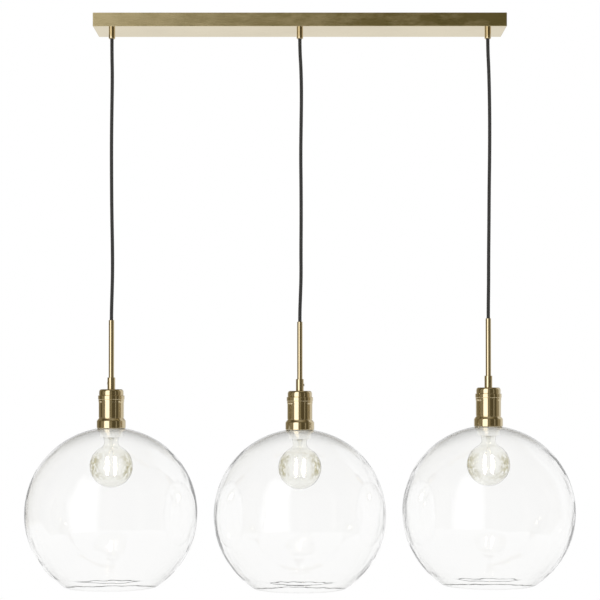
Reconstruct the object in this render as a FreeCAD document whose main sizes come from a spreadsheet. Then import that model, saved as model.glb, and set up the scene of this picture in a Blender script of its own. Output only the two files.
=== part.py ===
import FreeCAD, Part
import math
import os
from types import SimpleNamespace

import Sketcher

# Linear island pendant: a long brass canopy with three globe shades on textile cords.
# Millimetres. +Z is up and the origin is on the ceiling plane, at the middle of the canopy.
# X runs along the canopy, and the front of the lamp faces -Y.

DRIVING_SIZES = {
    # canopy: a folded tray, open towards the ceiling
    "canopy_length": 760.0,
    "canopy_depth": 98.0,
    "canopy_height": 25.0,
    "canopy_wall": 1.2,
    "canopy_edge_radius": 0.8,
    "pendant_spacing": 350.0,
    # bracket: a steel strip with its two ends turned down inside the tray
    "bracket_width": 60.0,
    "bracket_thickness": 2.0,
    "bracket_tab_height": 18.0,
    "bracket_end_gap": 0.1,
    "ceiling_hole_span": 600.0,
    "ceiling_hole_rows": 36.0,
    "ceiling_hole_radius": 2.75,
    "cable_entry_radius": 11.0,
    "cable_entry_from_middle": 100.0,
    # screws
    "housing_screw_radius": 2.0,
    "housing_screw_length": 9.0,
    "housing_screw_rows": 36.0,
    "housing_screw_drop": 11.0,
    "housing_screw_head_radius": 3.6,
    "housing_screw_head_height": 1.8,
    "earth_screw_radius": 2.0,
    "earth_screw_head_radius": 4.0,
    "earth_screw_head_height": 2.6,
    "earth_screw_from_block": 40.0,
    "earth_screw_setback": 20.0,
    "screw_hole_clearance": 0.1,
    "slot_width": 0.9,
    "slot_depth": 0.8,
    # terminal block under the bracket
    "block_from_middle": 175.0,
    "block_length": 20.0,
    "block_height": 14.0,
    "block_pole_pitch": 11.0,
    "block_wire_radius": 2.0,
    "block_wire_drop": 7.0,
    "block_clamp_spacing": 11.0,
    "block_clamp_screw_radius": 1.5,
    "block_screw_radius": 1.5,
    "block_screw_head_radius": 2.3,
    "block_screw_head_height": 1.4,
    # cord gland, with a ball seat in its mouth
    "gland_wall": 0.6,
    "gland_height": 13.5,
    "gland_edge": 0.6,
    "gland_stem_wall": 1.5,
    "gland_stem_rise": 6.0,
    "gland_hole_clearance": 0.15,
    "gland_bore_clearance": 0.25,
    "gland_nut_wall": 2.0,
    "gland_nut_height": 3.0,
    "thread_gap": 0.05,
    "ball_gap": 0.3,
    "ball_above_mouth": 2.5,
    # collet ball
    "collet_wall": 1.85,
    "collet_top": 2.0,
    "collet_bottom": 2.2,
    "collet_cord_gap": 0.3,
    "collet_flare": 0.55,
    # cord
    "cord_diameter": 6.5,
    "cord_free_left": 524.2,
    "cord_free_middle": 527.2,
    "cord_free_right": 520.9,
    "cord_into_tube": 6.0,
    "cord_end_gap": 0.4,
    "tail_under_bracket": 0.35,
    # stem tube and lock collar
    "stem_bore_clearance": 0.5,
    "stem_wall": 1.25,
    "stem_visible": 106.5,
    "stem_edge": 0.5,
    "stem_below_cover_top": 37.0,
    "collar_wall": 2.25,
    "collar_height": 21.8,
    "collar_edge": 0.5,
    "lock_screw_radius": 1.5,
    "lock_screw_head_radius": 2.2,
    "lock_screw_head_height": 1.2,
    "lock_screw_turn_left": 150.0,
    "lock_screw_turn_middle": 0.0,
    "lock_screw_turn_right": -81.0,
    # socket cover: a drop is measured down from the cover's top, and a step out from its shoulder
    "cover_height": 72.3,
    "cover_wall": 1.5,
    "cover_holder_clearance": 1.45,
    "cover_top_inset": 2.8,
    "cover_shoulder_drop": 5.2,
    "cover_joint_drop": 10.8,
    "cover_joint_depth": 0.5,
    "cover_ring_step": 1.8,
    "cover_ring_edge": 0.5,
    "cover_ring_top_drop": 11.5,
    "cover_ring_bottom_drop": 19.0,
    "cover_neck_step": 1.2,
    "cover_neck_drop": 21.6,
    "cover_waist_step": 0.6,
    "cover_waist_top_drop": 25.7,
    "cover_waist_bottom_drop": 53.9,
    "cover_groove_depth": 0.5,
    "cover_groove_height": 1.2,
    "cover_flare_step": 4.1,
    "cover_flare_drop": 58.5,
    "cover_lip_round": 1.2,
    "cover_hole_clearance": 0.15,
    "cover_nut_wall": 2.0,
    "cover_nut_height": 3.0,
    # lampholder for an E27 cap
    "holder_radius": 19.75,
    "holder_height": 58.9,
    "holder_neck_wall": 4.0,
    "holder_shoulder_inset": 4.25,
    "holder_neck_height": 4.0,
    "holder_shoulder_height": 20.0,
    "holder_thread_depth": 8.0,
    "holder_chamber_radius": 12.0,
    "holder_floor": 3.0,
    "holder_post_hole_radius": 2.2,
    "contact_shell_cap_gap": 0.35,
    "contact_shell_wall": 0.5,
    "contact_shell_height": 21.0,
    "contact_shell_setback": 1.0,
    "contact_tongue_radius": 5.0,
    "contact_tongue_thickness": 0.6,
    "contact_post_radius": 2.0,
    "contact_post_rise": 2.0,
    "lead_into_chamber": 7.0,
    # shade ring and glass
    "shade_ring_flange_width": 6.15,
    "shade_ring_flange_thickness": 2.2,
    "shade_ring_wall": 1.25,
    "shade_ring_height": 14.2,
    "shade_ring_gap": 0.1,
    "shade_seat_gap": 0.05,
    "globe_radius": 160.0,
    "globe_wall": 2.5,
    "globe_rim_bulge": 0.25,
    "globe_mouth_radius": 86.0,
    "globe_hole_clearance": 1.0,
    # lamp: an 80 mm globe on an E27 cap
    "lamp_radius": 40.0,
    "lamp_wall": 0.9,
    "lamp_centre_below_cap": 54.0,
    "lamp_shoulder_step": 1.3,
    "lamp_neck_gap": 0.3,
    "lamp_neck_height": 7.5,
    "lamp_below_holder": 0.6,
    "cap_radius": 13.0,
    "cap_wall": 0.5,
    "cap_height": 21.0,
    "cap_top_radius": 6.0,
    "cap_cone_height": 3.5,
    "tip_radius": 4.6,
    "tip_height": 1.0,
    "tip_gap": 0.3,
    "lamp_mount_radius": 3.2,
    "lamp_mount_gap": 0.1,
    "lamp_mount_flare_height": 2.0,
    "lamp_mount_length": 28.0,
    "lamp_rod_radius": 1.2,
    "stick_radius": 0.9,
    "stick_length": 32.0,
    "stick_circle_radius": 10.0,
    "spoke_radius": 0.45,
}

SIDES = ("left", "middle", "right")
LAMP_STICKS = 4

# Free cord, seen from the front: share of the free length below the gland mouth, then how far
# the cord strays sideways and forwards. The first and last points keep both ends plumb.
CORD_WAVES = {
    "left": ((0.05, 0.0, 0.0), (0.14, 0.9, 0.5), (0.26, -0.1, 0.9), (0.38, -0.6, 0.4),
             (0.50, -0.2, -0.4), (0.62, 0.4, -0.8), (0.74, 1.7, -0.5), (0.83, 1.9, 0.1),
             (0.91, 0.9, 0.3), (0.97, 0.0, 0.0)),
    "middle": ((0.04, 0.0, 0.0), (0.11, 2.3, -0.4), (0.20, 3.1, -0.8), (0.30, 2.4, -0.6),
               (0.41, 1.6, 0.1), (0.52, 2.3, 0.7), (0.64, 2.5, 0.6), (0.75, 2.0, 0.0),
               (0.84, 2.4, -0.5), (0.92, 0.9, -0.3), (0.97, 0.0, 0.0)),
    "right": ((0.04, 0.0, 0.0), (0.10, 1.6, 0.3), (0.19, 2.9, 0.9), (0.30, 3.5, 1.0),
              (0.42, 3.1, 0.3), (0.54, 2.0, -0.5), (0.66, 1.5, -0.9), (0.78, 0.8, -0.5),
              (0.88, 0.7, 0.2), (0.96, 0.0, 0.0)),
}

# Cord ends inside the canopy, after the rise out of the gland: X from the gland towards the
# terminal block as a share of that distance, Y from the middle line, and the drop from the
# ceiling plane.
TAIL_POINTS = {
    "left": ((0.075, 5.0, 7.2), (0.19, 14.0, 9.2), (0.34, 22.0, 10.4), (0.505, 25.5, 10.0),
             (0.67, 24.0, 10.6), (0.815, 19.0, 9.8), (0.935, 11.0, 9.0)),
    "middle": ((0.25, 2.5, 7.2), (0.54, 1.5, 9.5), (0.80, 0.0, 9.0)),
    "right": ((0.23, -3.5, 7.4), (0.53, -13.5, 9.6), (0.79, -11.0, 9.0)),
}
TAIL_POLES = {"left": 1, "middle": 0, "right": -1}

doc = FreeCAD.newDocument("IslandPendant")
sheet = doc.addObject("Spreadsheet::Sheet", "Sizes")
nodes = []


class Size:
    """A length that carries its value and the formula that binds it to the sheet."""

    def __init__(self, value, text):
        self.value = value
        self.text = text

    def joined(self, sign, other, value):
        """Result of a sum or product, with both formulas written out."""
        return Size(value, f"({self.text} {sign} {formula(other)})")

    def __add__(self, other):
        return self.joined("+", other, self.value + number(other))

    def __sub__(self, other):
        return self.joined("-", other, self.value - number(other))

    def __mul__(self, other):
        return self.joined("*", other, self.value * number(other))

    def __truediv__(self, other):
        return self.joined("/", other, self.value / number(other))

    def __neg__(self):
        return Size(-self.value, f"(-1 * {self.text})")


def number(size):
    """Plain value of a Size or of a bare number."""
    return size.value if isinstance(size, Size) else float(size)


def formula(size):
    """Sheet formula of a Size or of a bare number."""
    return size.text if isinstance(size, Size) else repr(float(size))


def square_root(size):
    return Size(math.sqrt(size.value), f"sqrt({size.text})")


def sine(angle):
    return Size(math.sin(math.radians(angle.value)), f"sin({angle.text})")


def cosine(angle):
    return Size(math.cos(math.radians(angle.value)), f"cos({angle.text})")


def arc_sine(share):
    return Size(math.degrees(math.asin(share.value)), f"asin({share.text})")


def arc_tangent(slope):
    return Size(math.degrees(math.atan(slope.value)), f"atan({slope.text})")


def sizes_from_sheet():
    """Write each driving size into the sheet and hand them back under their names."""
    sizes = SimpleNamespace()
    for row, (alias, value) in enumerate(DRIVING_SIZES.items(), start=1):
        sheet.set(f"A{row}", alias)
        sheet.set(f"B{row}", str(value))
        sheet.setAlias(f"B{row}", alias)
        setattr(sizes, alias, Size(value, f"Sizes.{alias}"))
    doc.recompute()
    return sizes


s = sizes_from_sheet()

# Radii that follow from what passes through: each is the piece inside it, a clearance and a wall.
s.cord_radius = s.cord_diameter / 2
s.collet_radius = s.cord_radius + s.collet_wall
s.ball_seat_radius = s.collet_radius + s.ball_gap
s.gland_radius = s.ball_seat_radius + s.gland_wall
s.gland_bore_radius = s.cord_radius + s.gland_bore_clearance
s.gland_stem_radius = s.gland_bore_radius + s.gland_stem_wall
s.stem_bore_radius = s.cord_radius + s.stem_bore_clearance
s.stem_radius = s.stem_bore_radius + s.stem_wall
s.collar_radius = s.stem_radius + s.collar_wall
s.holder_neck_radius = s.stem_radius + s.holder_neck_wall
s.contact_shell_inner_radius = s.cap_radius + s.contact_shell_cap_gap
s.cover_inner_radius = s.holder_radius + s.cover_holder_clearance
s.cover_shoulder_radius = s.cover_inner_radius + s.cover_wall
s.cover_flare_radius = s.cover_shoulder_radius + s.cover_flare_step
s.shade_ring_bore_radius = s.holder_radius + s.shade_ring_gap
s.shade_ring_flange_radius = s.shade_ring_bore_radius + s.shade_ring_flange_width
s.globe_hole_radius = s.holder_radius + s.globe_hole_clearance
s.globe_rim_radius = s.globe_wall / 2 + s.globe_rim_bulge
s.lamp_neck_radius = s.cap_radius - s.cap_wall - s.lamp_neck_gap


# ---------------------------------------------------------------- shared builders

def bind(item, **values):
    """Set each property of item from a Size."""
    for name, size in values.items():
        item.setExpression(name, formula(size))
    return item


def place(item, x=0.0, y=0.0, z=0.0, turn=None, axis=(0, 0, 1)):
    """Bind where item stands and, if asked, its turn about an axis in degrees."""
    angle = number(turn) if turn is not None else 0.0
    rotation = FreeCAD.Rotation(FreeCAD.Vector(*axis), angle)
    item.Placement = FreeCAD.Placement(FreeCAD.Vector(number(x), number(y), number(z)), rotation)
    for letter, size in zip("xyz", (x, y, z)):
        if isinstance(size, Size):
            item.setExpression(f"Placement.Base.{letter}", size.text)
    if isinstance(turn, Size):
        item.setExpression("Placement.Rotation.Angle", turn.text)
    return item


def node(item, label):
    """Register item as a sub-part of the lamp under its own name."""
    item.Label = label
    nodes.append(item)
    return item


def new_body(name, x=0.0, turn=None):
    body = doc.addObject("PartDesign::Body", name)
    return place(body, x=x, turn=turn)


def new_sketch(body, plane, height=None):
    """Empty sketch on one of the body's own origin planes, raised by height if asked."""
    sketch = body.newObject("Sketcher::SketchObject", "Outline")
    support = next(item for item in body.Origin.OriginFeatures if item.Role == plane)
    sketch.AttachmentSupport = [(support, "")]
    sketch.MapMode = "FlatFace"
    if height is not None:
        sketch.AttachmentOffset = FreeCAD.Placement(FreeCAD.Vector(0, 0, number(height)),
                                                    FreeCAD.Rotation())
        sketch.setExpression("AttachmentOffset.Base.z", formula(height))
    return sketch


def pin_point(sketch, edge, end, x, y):
    """Hold one end of an edge at x, y; a bare zero keeps it on the axis."""
    for kind, axis, size in (("DistanceX", -2, x), ("DistanceY", -1, y)):
        if not isinstance(size, Size) and size == 0:
            sketch.addConstraint(Sketcher.Constraint("PointOnObject", edge, end, axis))
            continue
        held = sketch.addConstraint(Sketcher.Constraint(kind, -1, 1, edge, end, number(size)))
        sketch.setExpression(f"Constraints[{held}]", formula(size))


def arc(radius, centre_x, centre_y, turn):
    """A round edge: its radius, its centre, and +1 when it runs anticlockwise."""
    return SimpleNamespace(radius=radius, x=number(centre_x), y=number(centre_y), turn=turn)


def draw_outline(sketch, corners):
    """Closed outline. A corner is (x, y), or (x, y, arc) where a round edge arrives at it."""
    first = sketch.GeometryCount
    count = len(corners)
    ends = []
    for here, there in zip(corners, corners[1:] + corners[:1]):
        start = FreeCAD.Vector(number(here[0]), number(here[1]), 0)
        stop = FreeCAD.Vector(number(there[0]), number(there[1]), 0)
        bend = there[2] if len(there) > 2 else None
        if bend is None:
            sketch.addGeometry(Part.LineSegment(start, stop))
            ends.append((1, 2))
            continue
        angles = [math.atan2(point.y - bend.y, point.x - bend.x) for point in (start, stop)]
        low, high = angles if bend.turn > 0 else angles[::-1]
        if high <= low:
            high += 2 * math.pi
        centre = FreeCAD.Vector(bend.x, bend.y, 0)
        circle = Part.Circle(centre, FreeCAD.Vector(0, 0, 1), number(bend.radius))
        edge = sketch.addGeometry(Part.ArcOfCircle(circle, low, high))
        held = sketch.addConstraint(Sketcher.Constraint("Radius", edge, number(bend.radius)))
        sketch.setExpression(f"Constraints[{held}]", formula(bend.radius))
        ends.append((1, 2) if bend.turn > 0 else (2, 1))
    for index, corner in enumerate(corners):
        following = (index + 1) % count
        sketch.addConstraint(Sketcher.Constraint(
            "Coincident", first + index, ends[index][1], first + following, ends[following][0]))
        pin_point(sketch, first + index, ends[index][0], corner[0], corner[1])
    return sketch


def draw_circle(sketch, x, y, radius):
    centre = FreeCAD.Vector(number(x), number(y), 0)
    edge = sketch.addGeometry(Part.Circle(centre, FreeCAD.Vector(0, 0, 1), number(radius)))
    pin_point(sketch, edge, 3, x, y)
    held = sketch.addConstraint(Sketcher.Constraint("Radius", edge, number(radius)))
    sketch.setExpression(f"Constraints[{held}]", formula(radius))
    return sketch


def draw_box(sketch, x_low, x_high, y_low, y_high):
    return draw_outline(sketch, [(x_low, y_low), (x_high, y_low), (x_high, y_high),
                                 (x_low, y_high)])


def turned(name, corners, x=0.0, turn=None):
    """A round piece: its outline is spun once about the body's own Z axis."""
    body = new_body(name, x, turn)
    sketch = draw_outline(new_sketch(body, "XZ_Plane"), corners)
    spin = body.newObject("PartDesign::Revolution", "Turned")
    spin.Profile = sketch
    spin.ReferenceAxis = (sketch, ["V_Axis"])
    spin.Angle = 360.0
    return body


def pad_down(body, sketch, depth):
    pad = body.newObject("PartDesign::Pad", "Pad")
    pad.Profile = sketch
    pad.Reversed = True
    pad.setExpression("Length", formula(depth))
    return pad


def cut_away(body, sketch, depth=None, outward=False, both_ways=False):
    """Pocket from the sketch, to a depth or right through, and check that it removed metal."""
    doc.recompute()
    before = body.Shape.Volume
    pocket = body.newObject("PartDesign::Pocket", "Pocket")
    pocket.Profile = sketch
    pocket.Reversed = outward
    if both_ways:
        pocket.SideType = "Symmetric"
    if depth is None:
        pocket.Type = "ThroughAll"
    else:
        pocket.setExpression("Length", formula(depth))
    doc.recompute()
    if body.Shape.Volume > before - 1e-3:
        raise RuntimeError(f"a pocket of {body.Label} cuts nothing")
    return pocket


def cylinder(name, radius, length, x=0.0, y=0.0, z=0.0, axis=(0, 0, 1), turn=None):
    item = doc.addObject("Part::Cylinder", name)
    bind(item, Radius=radius, Height=length)
    return place(item, x, y, z, turn, axis)


def block(name, length, width, height, x, y, z):
    item = doc.addObject("Part::Box", name)
    bind(item, Length=length, Width=width, Height=height)
    return place(item, x, y, z)


def fused(name, pieces):
    item = doc.addObject("Part::MultiFuse", name)
    item.Shapes = pieces
    return item


def cut_from(name, base, tools):
    item = doc.addObject("Part::Cut", name)
    item.Base = base
    item.Tool = tools[0] if len(tools) == 1 else fused(f"{name}_tools", tools)
    return item


def group(label, pieces):
    """Alike pieces that share one name, as separate solids."""
    item = doc.addObject("Part::Compound", label)
    item.Links = pieces
    return node(item, label)


def hex_nut(name, flats, height, bore, x, z):
    outer = doc.addObject("Part::Prism", f"{name}_hexagon")
    outer.Polygon = 6
    bind(outer, Circumradius=flats / math.sqrt(3), Height=height)
    place(outer, x=x, z=z)
    hole = cylinder(f"{name}_hole", bore, height, x=x, z=z)
    return cut_from(name, outer, [hole])


def screw_up(name, radius, length, head_radius, head_height, x, y, z):
    """Screw driven upwards: its head hangs below height z and is slotted."""
    shank = cylinder(f"{name}_shank", radius, length, x=x, y=y, z=z)
    head = cylinder(f"{name}_head", head_radius, head_height, x=x, y=y, z=z - head_height)
    slot = block(f"{name}_slot", head_radius * 2, s.slot_width, s.slot_depth,
                 x - head_radius, y - s.slot_width / 2, z - head_height)
    return cut_from(name, fused(f"{name}_solid", [shank, head]), [slot])


# ---------------------------------------------------------------- places

def places_for(side):
    """Heights and sideways place of one pendant, all from the driving sizes."""
    at = SimpleNamespace(side=side)
    step = SIDES.index(side) - 1
    at.x = s.pendant_spacing * step
    at.under = -s.canopy_height
    at.mouth = at.under - s.gland_height
    at.pivot = at.mouth + s.ball_above_mouth
    at.cord_free = getattr(s, f"cord_free_{side}")
    at.screw_turn = getattr(s, f"lock_screw_turn_{side}")
    at.stem_top = at.mouth - at.cord_free
    at.cord_bottom = at.stem_top - s.cord_into_tube
    at.collar_top = at.stem_top - s.stem_visible
    at.cover_top = at.collar_top - s.collar_height
    at.cover_bottom = at.cover_top - s.cover_height
    at.stem_bottom = at.cover_top - s.stem_below_cover_top
    at.holder_top = at.stem_bottom + s.holder_thread_depth
    at.holder_bottom = at.holder_top - s.holder_height
    lip = s.cover_flare_radius - s.cover_wall
    at.globe = at.cover_bottom - s.shade_seat_gap - height_on_circle(s.globe_radius, lip)
    at.flange_top = (at.globe + height_on_circle(s.globe_radius - s.globe_wall,
                                                 s.shade_ring_flange_radius) - s.shade_seat_gap)
    at.cap_bottom = at.holder_bottom - s.lamp_below_holder
    at.cap_top = at.cap_bottom + s.cap_height + s.cap_cone_height
    at.tip_bottom = at.cap_top + s.tip_gap
    at.tongue_bottom = at.tip_bottom + s.tip_height + s.tip_gap
    at.floor_bottom = at.tongue_bottom + s.contact_tongue_thickness
    at.floor_top = at.floor_bottom + s.holder_floor
    at.lamp = at.cap_bottom - s.lamp_centre_below_cap
    return at


def height_on_circle(radius, across):
    """How high a circle of that radius stands over its centre at that distance across."""
    return square_root(radius * radius - across * across)


# ---------------------------------------------------------------- canopy

def canopy_housing():
    body = node(new_body("canopy_tray"), "canopy_housing")
    half_length, half_depth = s.canopy_length / 2, s.canopy_depth / 2
    outer = draw_box(new_sketch(body, "XY_Plane"), -half_length, half_length,
                     -half_depth, half_depth)
    pad = pad_down(body, outer, s.canopy_height)
    doc.recompute()
    low = -s.canopy_height.value
    folded = [f"Edge{index}" for index, edge in enumerate(pad.Shape.Edges, start=1)
              if edge.BoundBox.ZMin < low + 1e-6]
    fillet = body.newObject("PartDesign::Fillet", "FoldedEdges")
    fillet.Base = (pad, folded)
    fillet.setExpression("Radius", s.canopy_edge_radius.text)
    wall = s.canopy_wall
    inner = draw_box(new_sketch(body, "XY_Plane"), -(half_length - wall), half_length - wall,
                     -(half_depth - wall), half_depth - wall)
    cut_away(body, inner, s.canopy_height - wall)
    glands = new_sketch(body, "XY_Plane")
    for side in SIDES:
        draw_circle(glands, places_for(side).x, 0, s.gland_stem_radius + s.gland_hole_clearance)
    cut_away(body, glands)
    ends = new_sketch(body, "YZ_Plane")
    for row in (-1, 1):
        draw_circle(ends, s.housing_screw_rows / 2 * row, -s.housing_screw_drop,
                    s.housing_screw_radius + s.screw_hole_clearance)
    cut_away(body, ends, both_ways=True)


def ceiling_bracket():
    body = node(new_body("ceiling_strip"), "ceiling_bracket")
    half_length = s.canopy_length / 2 - s.canopy_wall - s.bracket_end_gap
    half_width = s.bracket_width / 2
    plate = draw_box(new_sketch(body, "XY_Plane"), -half_length, half_length,
                     -half_width, half_width)
    pad_down(body, plate, s.bracket_thickness)
    tabs = new_sketch(body, "XY_Plane")
    inner = half_length - s.bracket_thickness
    draw_box(tabs, -half_length, -inner, -half_width, half_width)
    draw_box(tabs, inner, half_length, -half_width, half_width)
    pad_down(body, tabs, s.bracket_tab_height)
    holes = new_sketch(body, "XY_Plane")
    for end in (-1, 1):
        for row in (-1, 1):
            draw_circle(holes, s.ceiling_hole_span / 2 * end, s.ceiling_hole_rows / 2 * row,
                        s.ceiling_hole_radius)
    draw_circle(holes, -s.cable_entry_from_middle, 0, s.cable_entry_radius)
    draw_circle(holes, s.block_from_middle - s.earth_screw_from_block, -s.earth_screw_setback,
                s.earth_screw_radius + s.thread_gap)
    for row in (-1, 1):
        draw_circle(holes, s.block_from_middle, s.block_pole_pitch / 2 * row,
                    s.block_screw_radius + s.thread_gap)
    cut_away(body, holes)
    ends = new_sketch(body, "YZ_Plane")
    for row in (-1, 1):
        draw_circle(ends, s.housing_screw_rows / 2 * row, -s.housing_screw_drop,
                    s.housing_screw_radius + s.thread_gap)
    cut_away(body, ends, both_ways=True)


def housing_screws():
    """Four slotted screws, driven in through the tray's end walls."""
    screws = []
    for end in (-1, 1):
        for row in (-1, 1):
            name = f"housing_screw_{'left' if end < 0 else 'right'}_{'front' if row < 0 else 'back'}"
            wall_face = s.canopy_length / 2
            y, z = s.housing_screw_rows / 2 * row, -s.housing_screw_drop
            inward = (0, -end, 0)
            shank = cylinder(f"{name}_shank", s.housing_screw_radius, s.housing_screw_length,
                             wall_face * end, y, z, inward, 90)
            head = cylinder(f"{name}_head", s.housing_screw_head_radius,
                            s.housing_screw_head_height,
                            (wall_face + s.housing_screw_head_height) * end, y, z, inward, 90)
            depth = s.slot_depth
            face = wall_face + s.housing_screw_head_height
            slot_x = face - depth if end > 0 else -face
            slot = block(f"{name}_slot", depth, s.housing_screw_head_radius * 2, s.slot_width,
                         slot_x, y - s.housing_screw_head_radius, z - s.slot_width / 2)
            screws.append(cut_from(name, fused(f"{name}_solid", [shank, head]), [slot]))
    group("housing_screws", screws)


def earth_screw():
    node(screw_up("earth_screw_piece", s.earth_screw_radius, s.bracket_thickness,
                  s.earth_screw_head_radius, s.earth_screw_head_height,
                  s.block_from_middle - s.earth_screw_from_block, -s.earth_screw_setback,
                  -s.bracket_thickness), "earth_screw")


def terminal_block():
    """Three poles side by side, with a wire hole right through each."""
    low = -s.bracket_thickness - s.block_height
    x_low = s.block_from_middle - s.block_length / 2
    width = s.block_pole_pitch * 3
    base = block("terminal_block_base", s.block_length, width, s.block_height,
                 x_low, -width / 2, low)
    wire_height = -s.bracket_thickness - s.block_wire_drop
    tools = []
    for pole in (-1, 0, 1):
        y = s.block_pole_pitch * pole
        tools.append(cylinder(f"wire_hole_{pole + 2}", s.block_wire_radius, s.block_length,
                              x_low, y, wire_height, (0, 1, 0), 90))
        for clamp in (-1, 1):
            tools.append(cylinder(f"clamp_hole_{pole + 2}_{clamp + 2}",
                                  s.block_clamp_screw_radius + s.thread_gap,
                                  wire_height - low,
                                  s.block_from_middle + s.block_clamp_spacing / 2 * clamp,
                                  y, low))
    for row in (-1, 1):
        tools.append(cylinder(f"fixing_hole_{row + 2}",
                              s.block_screw_radius + s.thread_gap, s.block_height,
                              s.block_from_middle, s.block_pole_pitch / 2 * row, low))
    node(cut_from("terminal_block_piece", base, tools), "terminal_block")


def terminal_screws():
    """Six grub screws that clamp the wires, each reaching the wire hole's middle."""
    low = -s.bracket_thickness - s.block_height
    length = s.block_height - s.block_wire_drop - s.block_wire_radius
    screws = []
    for pole in (-1, 0, 1):
        for clamp in (-1, 1):
            name = f"clamp_screw_{pole + 2}_{clamp + 2}"
            x = s.block_from_middle + s.block_clamp_spacing / 2 * clamp
            y = s.block_pole_pitch * pole
            shank = cylinder(f"{name}_shank", s.block_clamp_screw_radius, length, x, y, low)
            slot = block(f"{name}_slot", s.block_clamp_screw_radius * 2, s.slot_width,
                         s.slot_depth, x - s.block_clamp_screw_radius,
                         y - s.slot_width / 2, low)
            screws.append(cut_from(name, shank, [slot]))
    group("terminal_screws", screws)


def block_screws():
    low = -s.bracket_thickness - s.block_height
    length = s.block_height + s.bracket_thickness
    group("block_screws", [
        screw_up(f"block_screw_{row + 2}", s.block_screw_radius, length,
                 s.block_screw_head_radius, s.block_screw_head_height,
                 s.block_from_middle, s.block_pole_pitch / 2 * row, low)
        for row in (-1, 1)])


def gland_nuts():
    group("gland_nuts", [
        hex_nut(f"gland_nut_{side}", (s.gland_stem_radius + s.gland_nut_wall) * 2, s.gland_nut_height,
                s.gland_stem_radius + s.thread_gap, places_for(side).x,
                s.canopy_wall - s.canopy_height)
        for side in SIDES])


# ---------------------------------------------------------------- cords

def cord_tube(points, radius):
    """Round tube along straight runs joined by tangent arcs; returns it, its length and radii."""
    corners = [FreeCAD.Vector(*point) for point in points]
    edges, radii = [], []
    reached = corners[0]
    for before, corner, after in zip(corners, corners[1:], corners[2:]):
        arriving, leaving = corner - before, after - corner
        turn = arriving.getAngle(leaving)
        tangent = 0.45 * min(arriving.Length, leaving.Length)
        radii.append(tangent / math.tan(turn / 2))
        arriving.normalize()
        leaving.normalize()
        start, stop = corner - arriving * tangent, corner + leaving * tangent
        towards_centre = (leaving - arriving).normalize()
        reach = radii[-1] / math.cos(turn / 2) - radii[-1]
        edges.append(Part.LineSegment(reached, start).toShape())
        edges.append(Part.Arc(start, corner + towards_centre * reach, stop).toShape())
        reached = stop
    edges.append(Part.LineSegment(reached, corners[-1]).toShape())
    path = Part.Wire(edges)
    section = Part.Wire(Part.makeCircle(radius, corners[0], corners[1] - corners[0]))
    return path.makePipeShell([section], True, False), path.Length, radii


def cord_feature(label, points, radius, cap=None):
    """A cord as one solid, with its volume compared to its section times its length."""
    shape, length, radii = cord_tube(points, radius)
    error = shape.Volume / (math.pi * radius * radius * length) - 1
    print(f"{label}: length {length:.1f}, radii {min(radii):.1f} to {max(radii):.0f}, "
          f"volume off by {error:.1e}")
    if abs(error) > 1e-3:
        raise RuntimeError(f"{label} isn't a clean tube")
    if cap is not None:
        shape = shape.fuse(cap).removeSplitter()
    item = doc.addObject("Part::Feature", label)
    item.Shape = shape
    return item


def free_cord(at):
    """Cord from its round top in the gland's ball seat down into the stem tube."""
    x, pivot, mouth = at.x.value, at.pivot.value, at.mouth.value
    free = at.cord_free.value
    radius = s.cord_radius.value
    points = [(x, 0.0, pivot)]
    for share, aside, ahead in CORD_WAVES[at.side]:
        points.append((x + aside, ahead, mouth - share * free))
    points.append((x, 0.0, at.cord_bottom.value))
    dome = Part.makeSphere(radius, FreeCAD.Vector(*points[0]), FreeCAD.Vector(0, 0, 1), 0, 90, 360)
    node(cord_feature(f"{at.side}_cord", points, radius, dome), f"{at.side}_cord")


def cord_tails():
    """Cord ends inside the canopy, from each gland's ball seat to the terminal block."""
    radius = s.cord_radius.value
    rise = -s.bracket_thickness.value - radius - s.tail_under_bracket.value
    middle, half = s.block_from_middle.value, s.block_length.value / 2
    wire_height = -s.bracket_thickness.value - s.block_wire_drop.value
    tails = []
    for side in SIDES:
        at = places_for(side)
        x = at.x.value
        start = at.pivot.value + radius + s.cord_end_gap.value
        face = middle - half if x < middle else middle + half
        pole = TAIL_POLES[side] * s.block_pole_pitch.value
        points = [(x, 0.0, start), (x, 0.0, rise)]
        points += [(x + share * (face - x), y, -drop) for share, y, drop in TAIL_POINTS[side]]
        points.append((face, pole, wire_height))
        tails.append(cord_feature(f"cord_tail_{side}", points, radius))
    group("cord_tails", tails)


def pendant_lead(at):
    """The cord's lower end, from under the free cord down into the wiring chamber."""
    top = at.cord_bottom - s.cord_end_gap
    bottom = at.stem_bottom - s.lead_into_chamber
    node(cylinder(f"{at.side}_lead_piece", s.cord_radius, top - bottom,
                  x=at.x, z=bottom), f"{at.side}_pendant_lead")


# ---------------------------------------------------------------- gland

def gland_body(at):
    """Turned gland: a ball seat in its mouth, and a threaded stem through the canopy."""
    bore = s.gland_bore_radius
    stem_top = s.canopy_wall - s.canopy_height + s.gland_stem_rise
    seat = s.ball_seat_radius
    node(turned(f"{at.side}_gland", [
        (height_on_circle(seat, s.ball_above_mouth), at.mouth, arc(seat, 0, at.pivot, -1)),
        (s.gland_radius - s.gland_edge, at.mouth),
        (s.gland_radius, at.mouth + s.gland_edge),
        (s.gland_radius, at.under),
        (s.gland_stem_radius, at.under),
        (s.gland_stem_radius, stem_top),
        (bore, stem_top),
        (bore, at.pivot + height_on_circle(seat, bore)),
        ], at.x), f"{at.side}_gland_body")


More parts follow.
